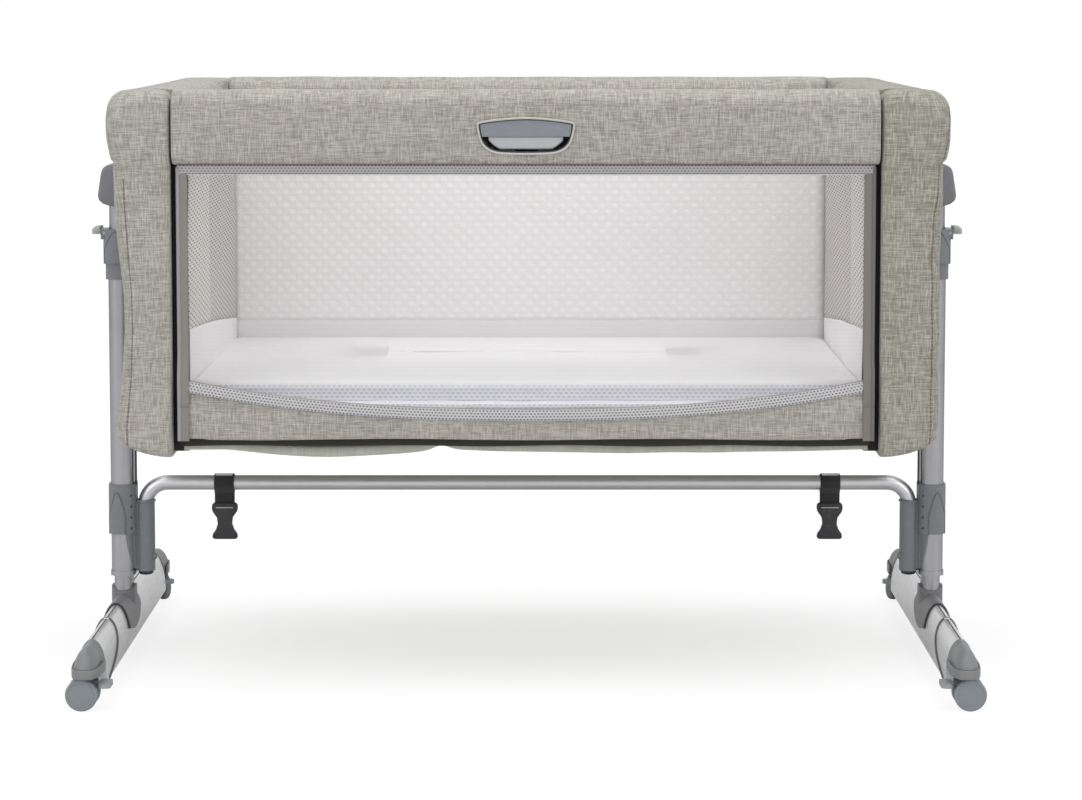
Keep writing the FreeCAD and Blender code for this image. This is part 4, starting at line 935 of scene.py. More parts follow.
def end_shell(lean):
    """The end cover as plan outlines stacked upward, then drawn in over the roll.

    lean gives how far out the wall stands at each height. Below, the underside rises
    to the outer edge as an ellipse; above, each outline point moves towards the middle
    line by a quarter round whose radius depends on the side it is on.
    """
    plan = corner_walk([(post_x, -body_y), (0.461, -body_y), (0.461, body_y),
                        (wall_in, body_y), (wall_in, notch_y), (post_x, notch_y)],
                       [0.005, 0.013, 0.034, 0.004, 0.003, 0.003], 0.0075)
    x, y = plan[:, 0], plan[:, 1]
    outer = np.clip((x - post_x) / 0.060, 0, 1)
    middle_x = np.full(len(x), 0.432)
    middle_y = np.clip(y, -body_y + 0.034, body_y - 0.045)
    reach = np.hypot(x - middle_x, y - middle_y)
    radius = np.where(x < 0.41, np.where(y > 0.150, 0.004, 0.018), 0.025)
    radius = np.where(y < -body_y + 0.02, np.where(x > 0.43, 0.023, 0.017), radius)
    radius = np.minimum(radius, reach * 0.95)
    under = underside(x)
    rows = []
    far = np.clip((np.abs(y) - 0.040) / 0.07, 0, 1)
    far = far * far * (3 - 2 * far)

    def leaned(px, py, pz, swell):
        height = np.interp(pz, lean[:, 0], lean[:, 1])
        above = np.clip((pz - 0.610) / 0.02, 0, 1)
        stretch = height * outer * np.maximum(far, above) * swell
        return np.stack([px + stretch, py, pz], axis=-1)

    for s in np.linspace(1, 0, 8)[:-1]:
        px = x + (middle_x - x) * s
        py = y + (middle_y - y) * s
        rows.append(leaned(px, py, underside(px), 1 - s))
    for t in np.concatenate([np.linspace(0, 0.04, 3), np.linspace(0.06, 0.84, 46),
                             np.linspace(0.85, 0.92, 12), np.linspace(0.93, 1, 6)]):
        pz = under + (rim_z - radius - under) * t
        rows.append(leaned(x, y, pz, 1.0))
    for turn in np.linspace(0, np.pi / 2, 9)[1:]:
        inset = radius * (1 - np.cos(turn)) / np.maximum(reach, 1e-6)
        pz = rim_z - radius * (1 - np.sin(turn))
        rows.append(leaned(x + (middle_x - x) * inset, y + (middle_y - y) * inset, pz, 1.0))
    start = radius / np.maximum(reach, 1e-6)
    for s in np.linspace(0, 1, 9)[1:]:
        share = start + (1 - start) * s
        pz = np.full(len(x), rim_z) + 0.0015 * np.sin(s * np.pi / 2)
        rows.append(leaned(x + (middle_x - x) * share, y + (middle_y - y) * share, pz,
                           1.0 - 0.4 * s))
    grid = np.stack(rows)
    along = round_length(plan)
    rise = np.linalg.norm(np.diff(grid, axis=0), axis=2)
    rise = np.concatenate([np.zeros((1, len(x))), np.cumsum(rise, axis=0)])
    rise = rise - rise[7:8] + under
    return grid, gridded(along, np.concatenate([rise, rise[:, :1]], axis=1)), along


def end_cover(side, lean, seed, sewn):
    """The shell with its soft swelling, its sewn post line and the crease of the roll."""
    grid, uv, along = end_shell(lean)
    u = along[:-1][None, :]
    z = grid[..., 2]
    rest = np.zeros_like(grid)
    out_x = np.clip((grid[..., 0] - 0.447) / 0.006, 0, 1)
    out_y = np.clip((-grid[..., 1] - 0.272) / 0.006, 0, 1) - np.clip(
        (grid[..., 1] - 0.262) / 0.01, 0, 1)
    away = np.clip((np.abs(grid[..., 1]) - 0.035) / 0.05, 0, 1)
    swell = ripple(u + 0 * z, z, seed, 0.0016)
    pillow = np.clip(1 - ((z - 0.645) / 0.034) ** 2, 0, 1) * 0.0025
    rest[..., 0] = out_x * (swell * away + pillow * 0.6)
    rest[..., 1] = -out_y * (swell * 0.7 + pillow * 0.4)
    crease = np.exp(-((z - 0.6185) / 0.0030) ** 2) * 0.0030
    rest[..., 0] -= out_x * crease
    seam_u = sewn[0] + sewn[1] * np.clip((z - 0.56) / 0.12, 0, 1)
    rest[..., 1] += np.exp(-((u - seam_u) / 0.0022) ** 2) * 0.0011 * (z < sewn[2])
    grid = grid + rest
    grid[..., 0] *= side
    return grid, uv


linen_light, linen_dark = rgb(188, 185, 177), rgb(136, 133, 125)
linen_cloth = linen_material("linen cloth", linen_light, linen_dark)
left_lean = np.array([[0.28, 0.003], [0.324, 0.004], [0.371, -0.003], [0.430, -0.006],
                      [0.470, -0.005], [0.527, 0.000], [0.575, 0.004], [0.612, 0.0055],
                      [0.622, 0.007], [0.645, 0.0105], [0.667, 0.0115], [0.701, 0.0095]])
right_lean = np.array([[0.28, 0.005], [0.324, 0.008], [0.371, 0.007], [0.430, 0.007],
                       [0.527, 0.0075], [0.575, 0.009], [0.612, 0.0095], [0.622, 0.012],
                       [0.645, 0.016], [0.667, 0.017], [0.701, 0.014]])
# The right cover's linen has darker, yellower colours than the left: painted shade, as the
# right post gets less of the light.
for side, name, lean, seed, seam, light, dark in (
        (-1, "left", left_lean, 4, (0.0505, 0.0, 0.602), linen_light, linen_dark),
        (1, "right", right_lean, 9, (0.0538, 0.0110, 0.684), rgb(174, 172, 160),
         rgb(124, 122, 110))):
    grid, uv = end_cover(side, lean, seed, seam)
    cover = add("end_cover_padded_" + name, grid,
                linen_material("post linen " + name, light, dark, seam=seam),
                "linen_cloth", "crib_body", replaces="end_cover_" + name, uv=uv)


# ---------------------------------------------------------------------- back cover
# The same cloth over foam along the back, with the roll on top. It ends inside the two
# end covers; its inner face is lined.
def back_shell():
    """Section of wall and roll, drawn as (y, z), carried from end to end."""
    inner, outer = 0.2085, 0.2865
    turn = np.linspace(0, np.pi / 2, 9)
    section = [(inner, 0.290)] + [(inner, z) for z in np.linspace(0.31, 0.683, 34)]
    section += [(inner + 0.018 * (1 - math.cos(t)), 0.683 + 0.018 * math.sin(t))
                for t in turn[1:]]
    section += [(y, 0.7038) for y in np.linspace(0.232, 0.252, 5)]
    section += [(outer + 0.004 - 0.032 * (1 - math.sin(t)), 0.6718 + 0.032 * math.cos(t))
                for t in turn]
    section += [(outer + 0.004 - 0.006 * max(0.0, (0.65 - z) / 0.03), z)
                for z in np.linspace(0.660, 0.622, 8)]
    section += [(outer - 0.0035, 0.618)]
    section += [(outer + 0.001, z) for z in np.linspace(0.612, 0.330, 28)]
    section += [(outer - 0.003, 0.312), (outer - 0.010, 0.298), (outer - 0.022, 0.290)]
    section = np.array(section)
    x = np.linspace(-0.3865, 0.3865, 110)
    along = round_length(section)
    grid = gridded(x[:, None], section[:, 0], section[:, 1])
    outside = np.clip((grid[..., 1] - 0.26) / 0.01, 0, 1)
    crown = np.clip((grid[..., 2] - 0.65) / 0.03, 0, 1)
    soft = ripple(x[:, None], along[None, :-1], 21, 0.002)
    grid[..., 1] += outside * soft
    grid[..., 2] += crown * (soft * 0.5 - 0.0008)
    return grid, gridded(x[:, None], along)


grid, uv = back_shell()
back = add("back_cover_padded", grid, linen_cloth, "linen_cloth", "crib_body",
           replaces="back_cover", uv=uv)


# ------------------------------------------------------------------------- linings
# Inside, the ends are grey spacer mesh over a white cotton band, and the back is white
# quilting with rows of small dimples over a plain band of the same cotton.
# Staggered dots: rows of round or long marks, every second row shifted by half a pitch.
dotted, takes, gives = new_group(
    "staggered dots",
    [("Place", "Vector", None), ("Across", "Float", 0.003),
     ("Down", "Float", 0.003), ("Wide", "Float", 0.3),
     ("Tall", "Float", 0.3)],
    [("Mask", "Float")])
split = put(dotted, "SeparateXYZ", {0: takes.outputs["Place"]})
row = math_node(dotted, "DIVIDE", split.outputs[1], takes.outputs["Down"])
whole = math_node(dotted, "FLOOR", row)
odd = math_node(dotted, "MULTIPLY", math_node(dotted, "FLOORED_MODULO", whole, 2.0), 0.5)
column = math_node(dotted, "DIVIDE", split.outputs[0], takes.outputs["Across"])
column = math_node(dotted, "ADD", column, odd)
fx = math_node(dotted, "SUBTRACT", math_node(dotted, "FRACT", column), 0.5)
fy = math_node(dotted, "SUBTRACT", math_node(dotted, "FRACT", row), 0.5)
fx = math_node(dotted, "DIVIDE", fx, takes.outputs["Wide"])
fy = math_node(dotted, "DIVIDE", fy, takes.outputs["Tall"])
gap = math_node(dotted, "ADD", math_node(dotted, "MULTIPLY", fx, fx),
                math_node(dotted, "MULTIPLY", fy, fy))
hand_out(dotted, gives, Mask=put(dotted, "MapRange", {
    "Value": gap, "From Min": 1.5, "From Max": 0.6},
    interpolation_type="SMOOTHSTEP").outputs[0])


def dotted_cloth(name, ground, mark, across, down, wide, tall, depth, uneven=0.1,
                 alpha=None):
    """Knitted or pierced cloth: marks in staggered rows on an uneven ground.

    alpha, where given, is how solid the ground and how solid the marks are.
    """
    made, tree = empty_material(name)
    where = put(tree, "UVMap", uv_map="cloth").outputs[0]
    mask = put(tree, "Group", {"Place": where, "Across": across, "Down": down, "Wide": wide,
                               "Tall": tall}, node_tree=dotted).outputs["Mask"]
    cloud = put(tree, "TexNoise", {"Vector": where, "Scale": 45.0, "Detail": 4.0})
    fuzz = put(tree, "TexNoise", {"Vector": where, "Scale": 900.0, "Detail": 2.0})
    tone = math_node(tree, "ADD", cloud.outputs["Fac"], fuzz.outputs["Fac"])
    tone = math_node(tree, "MULTIPLY_ADD", tone, uneven, 1 - uneven)
    grey = grey_of(tree, tone)
    colour = mixed(tree, 1.0, mixed(tree, mask, ground, mark), grey, "MULTIPLY")
    height = math_node(tree, "MULTIPLY_ADD", mask, -1.0, fuzz.outputs["Fac"])
    shader = shaded(tree, height, depth, {
        "Base Color": colour, "Roughness": 0.85, "Sheen Weight": 0.1,
        "Specular IOR Level": 0.25})
    if alpha is not None:
        solid = math_node(tree, "MULTIPLY_ADD", mask, alpha[1] - alpha[0], alpha[0])
        tree.links.new(solid, shader.inputs["Alpha"])
    return made


def thicken(piece, thick, offset=0.0):
    """Gives a sheet its thickness."""
    wall = piece.modifiers.new("thickness", "SOLIDIFY")
    wall.thickness = thick
    wall.offset = offset


def wall_sheet(start, end, low, high, bow, seed):
    """A sheet hung between two upright lines in plan, from low to high edges.

    low and high give the height at the start, middle and end; bow moves its middle.
    """
    across = np.linspace(0, 1, 60)
    up = np.linspace(0, 1, 30)
    start, end = np.asarray(start), np.asarray(end)
    flat = start + (end - start) * across[:, None]
    normal = np.array([-(end - start)[1], (end - start)[0]])
    length = np.linalg.norm(end - start)
    normal /= length
    z_low = np.interp(across, [0, 0.5, 1], low)
    z_high = np.interp(across, [0, 0.5, 1], high)
    z = z_low + (z_high - z_low) * up[:, None]
    soft = bow * np.sin(np.pi * across) + ripple(across * length, z, seed, 0.0008)
    grid = gridded(flat[:, 0] + normal[0] * soft, flat[:, 1] + normal[1] * soft, z)
    uv = gridded(across * length, z)
    area = length * float(np.mean(z_high - z_low))
    return grid, uv, length, area


mesh_light = dotted_cloth("grey mesh light", rgb(214, 210, 206), rgb(122, 116, 112),
                          0.024, 0.0034, 0.24, 0.26, 0.0004, uneven=0.05)
mesh_dark = dotted_cloth("grey mesh dark", rgb(200, 196, 192), rgb(112, 106, 102),
                         0.024, 0.0034, 0.27, 0.28, 0.0004, uneven=0.05)
# The dimples are real relief, bumped in; their colour, a little lighter than the ground, is
# painted light.
quilt_white = dotted_cloth("white quilting", rgb(245, 242, 243), rgb(251, 249, 250),
                           0.017, 0.0085, 0.22, 0.35, 0.0004, uneven=0.02)
cotton_white = dotted_cloth("white cotton", rgb(248, 246, 247), rgb(242, 240, 241),
                            0.0012, 0.0009, 0.3, 0.3, 0.0002, uneven=0.02)
lining_x = 0.3857
sheet_thick = 0.0006
for side, name, seam_y in ((-1, "left", -0.052), (1, "right", -0.105)):
    front, back_y = -0.2385, 0.2065
    edge_z = lambda y: float(np.interp(y, [-0.2385, -0.02, 0.2065], [0.425, 0.411, 0.390]))
    pieces = (("mesh_front", mesh_light, front, seam_y, None),
              ("mesh_rear", mesh_dark, seam_y, back_y, None),
              ("band", cotton_white, front, back_y, "low"))
    for part, material, y0, y1, low_part in pieces:
        middle = (y0 + y1) / 2
        edge = [edge_z(y0), edge_z(middle), edge_z(y1)]
        if low_part:
            low, high, shift = [0.345] * 3, [e + 0.002 for e in edge], 0.0006
        else:
            low, high, shift = edge, [0.655] * 3, 0.0
        x0, x1 = (side * (lining_x - shift - (0.0072 if side < 0 else 0.0005)
                          * np.clip((y + 0.2385) / 0.445, 0, 1)) for y in (y0, y1))
        ends = ((x0, y0), (x1, y1)) if side < 0 else ((x1, y1), (x0, y0))
        if side > 0:
            low, high = low[::-1], high[::-1]
        grid, uv, wide, area = wall_sheet(*ends, low, high, -0.0008, 30 + side)
        lining = add("lining_%s_%s" % (part, name), grid, material, "mesh_cloth",
                     "crib_body", around=False, tips=False, uv=uv)
        thicken(lining, sheet_thick)
for part, material, low, high, shift in (("quilt", quilt_white, 0.386, 0.655, 0.0),
                                         ("band", cotton_white, 0.345, 0.388, 0.0006)):
    y = 0.2072 - shift
    grid, uv, wide, area = wall_sheet((0.3855, y), (-0.3855, y), [low] * 3, [high] * 3,
                                      0.0015, 41)
    lining = add("lining_%s_back" % part, grid, material, "mattress_cloth", "crib_body",
                 around=False, tips=False, uv=uv)
    thicken(lining, sheet_thick)


# ------------------------------------------------------------------------- mattress
# A 30 mm foam pad in a white knitted cover; its border is a spacer mesh with staggered
# blue-grey holes, sewn to the top with a rolled seam.
def mattress_shell():
    """Rounded plan outlines stacked from base to top, then drawn in over a low crown."""
    plan = corner_walk([(-0.3848, -0.2375), (0.3848, -0.2375), (0.3848, 0.2055),
                        (-0.3848, 0.2055)], [0.022] * 4, 0.008)
    middle = gridded(np.clip(plan[:, 0], -0.17, 0.17), -0.016)
    reach = np.linalg.norm(plan - middle, axis=1)
    rows = []
    low, high, crown, soft_edge = 0.3384, 0.3585, 0.0155, 0.0110
    for s in np.linspace(1, 0, 6)[:-1]:
        at = plan + (middle - plan) * s
        rows.append(gridded(*at.T, low))
    for t in np.linspace(0, 1, 12):
        draw = 0.0030 * np.sin(np.pi * t) + 0.0015 * (1 - t) ** 6
        at = plan + (middle - plan) * (draw / reach)[:, None]
        rows.append(gridded(*at.T, low + (high - low) * t))
    for t in np.linspace(0, np.pi / 2, 9)[1:]:
        inset = soft_edge * (1 - np.cos(t))
        at = plan + (middle - plan) * (inset / reach)[:, None]
        rows.append(gridded(*at.T, high + 0.0090 * np.sin(t)))
    for s in np.linspace(0, 1, 22)[1:]:
        share = soft_edge / reach + (1 - soft_edge / reach) * s
        at = plan + (middle - plan) * share[:, None]
        lift = high + 0.0090 + (crown - 0.0090) * np.sin(np.minimum(s * 1.8, 1) * np.pi / 2)
        soft = ripple(at[:, 0], at[:, 1], 55, 0.0011) * min(1.0, s * 3)
        rows.append(gridded(*at.T, lift + soft))
    grid = np.stack(rows)
    return grid, gridded(round_length(plan), line_length(grid[:, 0])[:, None])


grid, uv = mattress_shell()
mattress = surface("mattress_padded", grid, uv=uv, around=True, tips=True)
mattress.data.materials.append(dotted_cloth(
    "mattress top", rgb(236, 235, 236), rgb(228, 227, 230), 0.0024, 0.0012, 0.3, 0.3,
    0.0003, uneven=0.03))
mattress.data.materials.append(dotted_cloth(
    "mattress border", rgb(238, 237, 242), rgb(206, 208, 219), 0.0062, 0.0046, 0.36, 0.30,
    0.0005, uneven=0.04))
border = np.zeros(len(mattress.data.polygons), int)
centres = np.empty(len(border) * 3)
normals = np.empty(len(border) * 3)
mattress.data.polygons.foreach_get("center", centres)
mattress.data.polygons.foreach_get("normal", normals)
border[np.abs(normals.reshape(-1, 3)[:, 2]) < 0.5] = 1
border[centres.reshape(-1, 3)[:, 2] > 0.3650] = 0
mattress.data.polygons.foreach_set("material_index", border)
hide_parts("mattress")
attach(mattress, "crib_body")


def skirt_sheet():
    """The cover's front skirt: up over the board's edge, then back to the pad.

    The bend between the two is a quarter round.
    """
    turn = np.linspace(0, np.pi / 2, 7)[1:]
    section = [(-0.2572, z) for z in np.linspace(0.3305, 0.3400, 5)]
    section += [(-0.2572 + 0.004 * (1 - math.cos(t)), 0.3400 + 0.004 * math.sin(t))
                for t in turn]
    section += [(y, 0.3440) for y in np.linspace(-0.2520, -0.2360, 6)]
    section = np.array(section)
    x = np.linspace(-0.3840, 0.3840, 90)
    grid = gridded(x, section[:, :1] - np.abs(ripple(x[None], section[:, 1:], 12, 0.0012)),
                   section[:, 1:] + ripple(x[None], section[:, :1], 13, 0.0012))
    return grid, gridded(x, section.sum(1, keepdims=True))


grid, uv = skirt_sheet()
skirt = add("mattress_skirt", grid, mattress.data.materials[1], "mattress_cloth",
            "crib_body", around=False, tips=False, uv=uv)
thicken(skirt, sheet_thick)


# --------------------------------------------------- lower band, net and its bindings
# The front below the rail: a linen band whose top edge sags in a smile, a fine white
# net above it, and grey knitted bindings round the net. The top binding goes with the
# rail.
panel_x = 0.394
net_top = 0.6170
band_low = 0.3055


def smile(x):
    """Height of the band's top edge: level near the ends, then down to the middle."""
    far = np.clip(np.abs(x) / panel_x, 0, 1)
    return 0.3400 + 0.0350 * far ** 2.4


def band_shell():
    """The band as a closed pad: front skin swells a little between edge and hem."""
    x = np.linspace(-0.3895, 0.3895, 130)
    turn = np.linspace(0, 1, 15)
    front = -0.2800
    top = smile(x)
    low = band_low - 0.0008 * np.cos(x * 21) + 0.001 * (np.abs(x) > 0.36)
    z = low[:, None] + (top - low)[:, None] * turn
    swell = 0.0022 * np.sin(np.pi * turn) + ripple(x[:, None], z, 61, 0.0012)
    y = np.concatenate([front - np.clip(swell, -0.001, 0.004),
                        np.full(z.shape, front + 0.0065)], axis=1)
    grid = gridded(x[:, None], y, np.concatenate([z, z[:, ::-1]], axis=1))
    over = np.concatenate([z, z[:, ::-1] + 0.4, z[:, :1]], axis=1)
    return grid, gridded(x[:, None], over)


grid, uv = band_shell()
band = add("lower_band_padded", grid, linen_cloth, "linen_cloth", "crib_body",
           replaces="front_lower_band", uv=uv)


def net_sheet():
    """The net between two side bindings, from the smile edge up to the rail."""
    x = np.linspace(-0.3835, 0.3835, 90)
    up = np.linspace(0, 1, 30)[:, None]
    low = smile(x) - 0.006
    z = low + (net_top - low) * up
    grid = gridded(x, -0.2752 + 0.0006 * np.sin(np.pi * up), z)
    return grid, gridded(x, z), float(np.mean(net_top - low)) * 0.767


fold_z = 0.3423
net_cloth = dotted_cloth("white net", rgb(236, 234, 235), rgb(244, 244, 244), 0.0017, 0.0015,
                         0.42, 0.42, 0.0001, uneven=0.03, alpha=(0.20, 0.02))
grid, uv, area = net_sheet()
net = add("front_net", grid, net_cloth, "mesh_cloth", "crib_body",
          replaces="front_mesh_panel", around=False, tips=False, uv=uv)
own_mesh(net)


def tape(line, width, thick, up):
    """A flat knitted tape with soft edges, its width along up, and its place as UV."""
    half = width / 2
    profile = np.array([[-thick / 2, -half * 0.94], [0, -half], [thick / 2, -half * 0.94],
                        [thick / 2 * 1.3, -half * 0.5], [thick / 2 * 1.3, half * 0.5],
                        [thick / 2, half * 0.94], [0, half], [-thick / 2, half * 0.94],
                        [-thick / 2 * 1.3, half * 0.5], [-thick / 2 * 1.3, -half * 0.5]])
    grid = carry(line, profile, up)
    length = line_length(line)
    return grid, gridded(length[:, None], np.append(profile[:, 1], profile[0, 1]))


def add_tape(name, line, width, thick, up, material, slot, body):
    """A tape along a line, as a piece."""
    grid, uv = tape(line, width, thick, up)
    return add(name, grid, material, slot, body, uv=uv)


# Every knit of the bindings: its two greys, the pitch of its marks and their size.
(binding_light, binding_lilac, binding_edge, binding_warm, thread_dark, thread_pale,
 shaded_edge, shaded_warm) = [
    dotted_cloth(name, rgb(*ground), rgb(*mark), *marks, uneven=uneven)
    for name, ground, mark, marks, uneven in (
        ("binding light", (196, 195, 197), (116, 115, 118),
         (0.0040, 0.0032, 0.27, 0.27, 0.0004), 0.06),
        ("binding lilac", (178, 175, 178), (120, 117, 120),
         (0.0040, 0.0030, 0.26, 0.27, 0.0004), 0.06),
        ("binding edge", (160, 157, 161), (140, 137, 141),
         (0.0030, 0.0022, 0.26, 0.30, 0.0003), 0.06),
        ("binding warm", (143, 139, 133), (126, 122, 116),
         (0.0022, 0.0016, 0.26, 0.30, 0.0003), 0.06),
        ("dark thread", (96, 90, 88), (150, 146, 142),
         (0.0026, 0.0040, 0.30, 0.60, 0.0004), 0.1),
        ("pale thread", (232, 231, 231), (150, 148, 150),
         (0.0026, 0.0040, 0.22, 0.60, 0.0004), 0.1),
        ("shaded edge", (116, 114, 110), (100, 98, 94),
         (0.0030, 0.0022, 0.26, 0.30, 0.0003), 0.06),
        ("shaded warm", (130, 128, 119), (114, 112, 104),
         (0.0022, 0.0016, 0.26, 0.30, 0.0003), 0.06))]
tape_thick = 0.0016
x = np.linspace(-0.3820, 0.3820, 120)
lower_line = gridded(x, -0.2838, smile(x) - 0.0062)
upper_line = gridded(np.linspace(-0.3930, 0.3930, 60), -0.2790, 0.6120)
join_line = upper_line + (0, -0.0018, 0.0058)
hem_line = upper_line * (0.97, 1, 1) + (0, -0.0014, -0.0056)
for name, line, width, material, body in (
        ("binding_lower", lower_line, 0.0125, binding_light, "crib_body"),
        ("binding_upper", upper_line, 0.0115, binding_lilac, "drop_side"),
        ("binding_join", join_line, 0.0013, thread_dark, "drop_side"),
        ("binding_hem", hem_line, 0.0013, thread_pale, "drop_side")):
    add_tape(name, line, width, tape_thick, (0, 0, 1), material, "mesh_cloth", body)
for side, name, edge_tape, warm_tape in ((-1, "left", binding_edge, binding_warm),
                                         (1, "right", shaded_edge, shaded_warm)):
    for part, at, width, ahead, material in (
            ("outer", 0.3922, 0.0042, 0.0003, edge_tape),
            ("inner", 0.3859, 0.0096, 0.0, warm_tape)):
        for run, low, high in (("foot", 0.3045, fold_z), ("fall", fold_z, 0.6150)):
            z = np.linspace(low, high, 40)
            y = np.interp(z, [0.380, 0.400], [-0.2846, -0.2788])
            binding = add_tape("binding_%s_%s_%s" % (part, run, name),
                               gridded(side * at, y - ahead, z), width, tape_thick,
                               (1, 0, 0), material, "mesh_cloth", "crib_body")
            if run == "fall":
                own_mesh(binding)


# ------------------------------------------------ slot linings and cloth under the base
# Black tape lines the slots beside the front panel and hangs as a narrow strip below
# the band; a pale green-grey cloth is slung under the base in two shallow bays.
black_cloth = dotted_cloth("black tape", rgb(34, 33, 32), rgb(22, 22, 22), 0.0022, 0.0016,
                           0.3, 0.3, 0.0003)
hem_cloth = dotted_cloth("hem tape", rgb(50, 48, 40), rgb(70, 68, 58), 0.0022, 0.0016,
                         0.3, 0.3, 0.0003)
sling_cloth = linen_material("sling cloth", rgb(190, 191, 178), rgb(166, 167, 154),
                             slub=0.5, object_place=True)
slot_y = -0.2665
for side, name in both_sides:
    line = gridded(side * 0.3950, slot_y, np.linspace(0.291, 0.690, 40))
    add_tape("slot_lining_" + name, line, 0.0120, 0.0012, (1, 0, 0), black_cloth, "webbing",
             "crib_body")
x = np.linspace(-0.392, 0.392, 90)
line = gridded(x, slot_y, 0.3012 + 0.0007 * np.sin(x * 34))
add_tape("hem_tape", line, 0.0100, 0.0012, (0, 0, 1), hem_cloth, "webbing", "crib_body")


def sling_sheet():
    """The slung cloth: front edge turned up, two bays between ends and a gather.

    Across, each bay sags as a power of a half sine; from front to back the sag fades.
    """
    x = np.linspace(-0.4200, 0.4200, 160)
    gather = -0.097
    left = np.clip((x + 0.345) / (gather + 0.345), 0, 1)
    right = np.clip((x - gather) / (0.37 - gather), 0, 1)
    bay = np.where(x < gather, 1.15 * np.abs(np.sin(np.pi * left)) ** 1.1,
                   0.50 * np.abs(np.sin(np.pi * right)) ** 0.8)
    lift = 0.0045 * np.exp(-((x - gather) / 0.012) ** 2)
    y = np.concatenate([[-0.2500, -0.2520, -0.2522, -0.2510, -0.2480],
                        np.linspace(-0.24, 0.249, 30)])
    base = np.concatenate([[0.3000, 0.2960, 0.2925, 0.2905, 0.2895],
                           np.linspace(0.2895, 0.3060, 30)])
    fade = np.concatenate([[0.4, 0.7, 0.9, 1.0, 1.0], np.linspace(1.0, 0.15, 30)])
    grid = gridded(x, y[:, None], base[:, None] - fade[:, None] * (0.0075 * bay - lift))
    grid[..., 2] += ripple(x[None, :], y[:, None] + 0 * x, 71, 0.0010) * fade[:, None]
    return grid, gridded(x, y[:, None])


grid, uv = sling_sheet()
sling = add("under_cloth", grid, sling_cloth, "sling_cloth", "crib_body",
            replaces="under_sling", around=False, tips=False, uv=uv)
thicken(sling, 0.0008)


# ------------------------------------------------------------- drop rail and handle
# The padded rail of the drop side: linen over foam round a steel tube. A moulded handle
# is let into its front, edged with cream piping, with a light grip bar below a dark hood.
rail_front = -0.2850
handle_high = 0.6694


def handle_edge(grow):
    """The handle's outline as (x, z), grown outwards: an arched top over a round bowl.

    Points of one half, mirrored; corners are cut at a quarter of each side, twice.
    """
    half = np.array([(0, handle_high), (0.020, 0.6685), (0.040, 0.6662), (0.0525, 0.6641),
                     (0.0534, 0.6626), (0.0530, 0.6592), (0.0508, 0.6480), (0.0478, 0.6410),
                     (0.0415, 0.6352), (0.0320, 0.6318), (0.0150, 0.6310), (0, 0.6308)])
    line = np.concatenate([half, half[-2:0:-1] * (-1, 1)])
    for _ in range(2):
        after = np.roll(line, -1, axis=0)
        line = np.stack([0.75 * line + 0.25 * after, 0.25 * line + 0.75 * after],
                        axis=1).reshape(-1, 2)
    way = np.roll(line, -1, axis=0) - np.roll(line, 1, axis=0)
    way /= np.linalg.norm(way, axis=1, keepdims=True)
    return line + grow * np.stack([-way[:, 1], way[:, 0]], axis=-1)


def inside(x, z, line):
    """Whether points lie in a closed outline: crossings of a ray to the right are odd."""
    count = np.zeros(np.broadcast(x, z).shape, int)
    for (x0, z0), (x1, z1) in zip(line, np.roll(line, -1, axis=0)):
        count += ((z0 > z) != (z1 > z)) & (
            x < x0 + (z - z0) / (z1 - z0 + 1e-12) * (x1 - x0))
    return count % 2 == 1


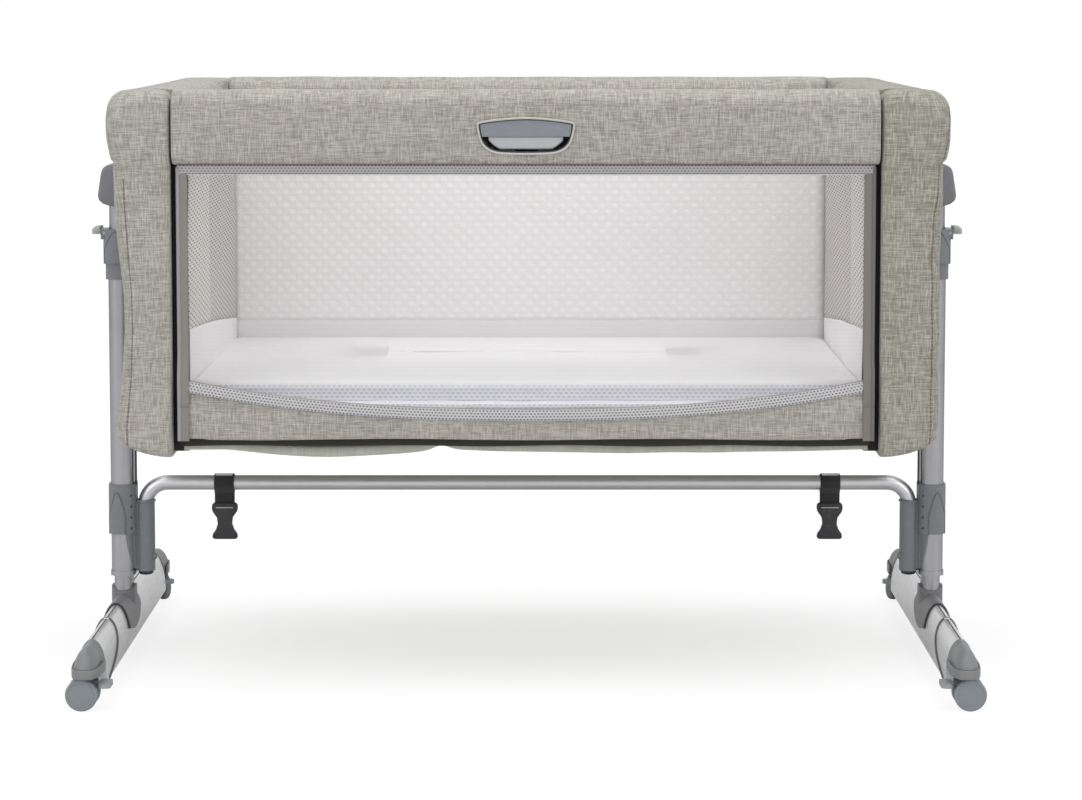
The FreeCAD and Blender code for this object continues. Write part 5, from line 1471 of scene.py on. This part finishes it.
def rail_shell():
    """Soft oblong section carried end to end; its front swells between the edges."""
    low, high, back_y = 0.617, rim_z, -0.239
    section = corner_walk([(rail_front, high), (back_y, high), (back_y, low),
                           (rail_front, low)], [0.017, 0.016, 0.010, 0.009], 0.0028)
    fine = np.linspace(-0.062, 0.062, 63)
    x = np.concatenate([[-0.3985, -0.3978, -0.396], np.linspace(-0.392, -0.066, 60),
                        fine, np.linspace(0.066, 0.392, 60), [0.396, 0.3978, 0.3985]])
    along = round_length(section)
    grid = gridded(x[:, None], section[:, 0], section[:, 1])
    middle = np.array([(rail_front + back_y) / 2, (low + high) / 2])
    draw = np.array([0.10, 0.03, 0.008] + [0.0] * (len(x) - 6) + [0.008, 0.03, 0.10])
    grid[..., 1:] += (middle - grid[..., 1:]) * draw[:, None, None]
    up = (grid[..., 2] - low) / (high - low)
    face = np.clip((-0.2790 - grid[..., 1]) / 0.004, 0, 1)
    crown = np.clip((grid[..., 2] - 0.694) / 0.004, 0, 1)
    soft = ripple(x[:, None], along[None, :-1], 83, 0.0016)
    swell = 0.0030 * np.sin(np.pi * np.clip(up, 0, 1))
    near = np.exp(-(x[:, None] / 0.085) ** 4)
    grid[..., 1] -= face * (swell + soft) * (1 - 0.9 * near)
    grid[..., 2] += crown * (soft * 0.6 + 0.0004)
    hole = inside(grid[..., 0], grid[..., 2], handle_edge(-0.0008))
    hole &= grid[..., 1] < -0.262
    grid[..., 1] = np.where(hole, -0.2632, grid[..., 1])
    return grid, gridded(x[:, None], along)


grid, uv = rail_shell()
rail = add("drop_rail_padded", grid, linen_cloth, "linen_cloth", "drop_side",
           replaces="drop_rail_cover", uv=uv)


def handle_bowl():
    """The moulded cup: up its outer wall, over the rim and down to a flat inner back."""
    steps = ((-0.0010, -0.2640), (-0.0006, -0.2700), (0.0, -0.2862), (-0.0004, -0.2868),
             (-0.0011, -0.2867), (-0.0016, -0.2856), (-0.0020, -0.2680), (-0.0050, -0.2664))
    grid = np.empty((len(steps), len(handle_edge(0)), 3))
    for row, (grow, y) in zip(grid, steps):
        row[:, 0], row[:, 2] = handle_edge(grow).T
        row[:, 1] = y
    return grid


def handle_hood():
    """The hood over the grip: a slightly bowed plate from the arched rim to its lower edge.

    Its ends draw in like the cup's sides; it stays ahead of the grip that rises behind.
    """
    across = np.linspace(-1, 1, 40)[:, None]
    down = np.linspace(0, 1, 12)
    top = handle_high - 0.0016 - 0.0052 * across ** 2
    front = gridded(across * (0.0512 - 0.0022 * down ** 1.5),
                    -0.2858 - 0.0006 * np.sin(np.pi * down), top + (0.6492 - top) * down)
    back = front[:, ::-1] * (1, 0, 1) + (0, -0.2851, 0)
    return np.concatenate([front, back], axis=1)


hood_blue = plastic("handle hood", rgb(128, 132, 139), speckle=0.15, coat=0.1)
cup_dark = plastic("handle cup", rgb(58, 61, 66), speckle=0.15)
grip_pale = plastic("grip pale", rgb(172, 176, 177), speckle=0.15, coat=0.1)
piping_cream = plastic("cream piping", rgb(188, 185, 176), speckle=0.1)
dress(grip_pale, "release_grip")
add("handle_cup", handle_bowl(), cup_dark, "handle_plastic", "drop_side",
    replaces="handle_bezel", sharp=40)
add("handle_hood", handle_hood(), hood_blue, "handle_plastic", "drop_side", sharp=50)
edge = handle_edge(0.0010)
line = gridded(edge[:, 0], -0.2866, edge[:, 1])
line = np.concatenate([line, line[:1]])
add("handle_piping", carry(line, ring(0.0013, 0.0014, 10), (0, 1, 0)), piping_cream,
    "linen_cloth", "drop_side", tips=False)
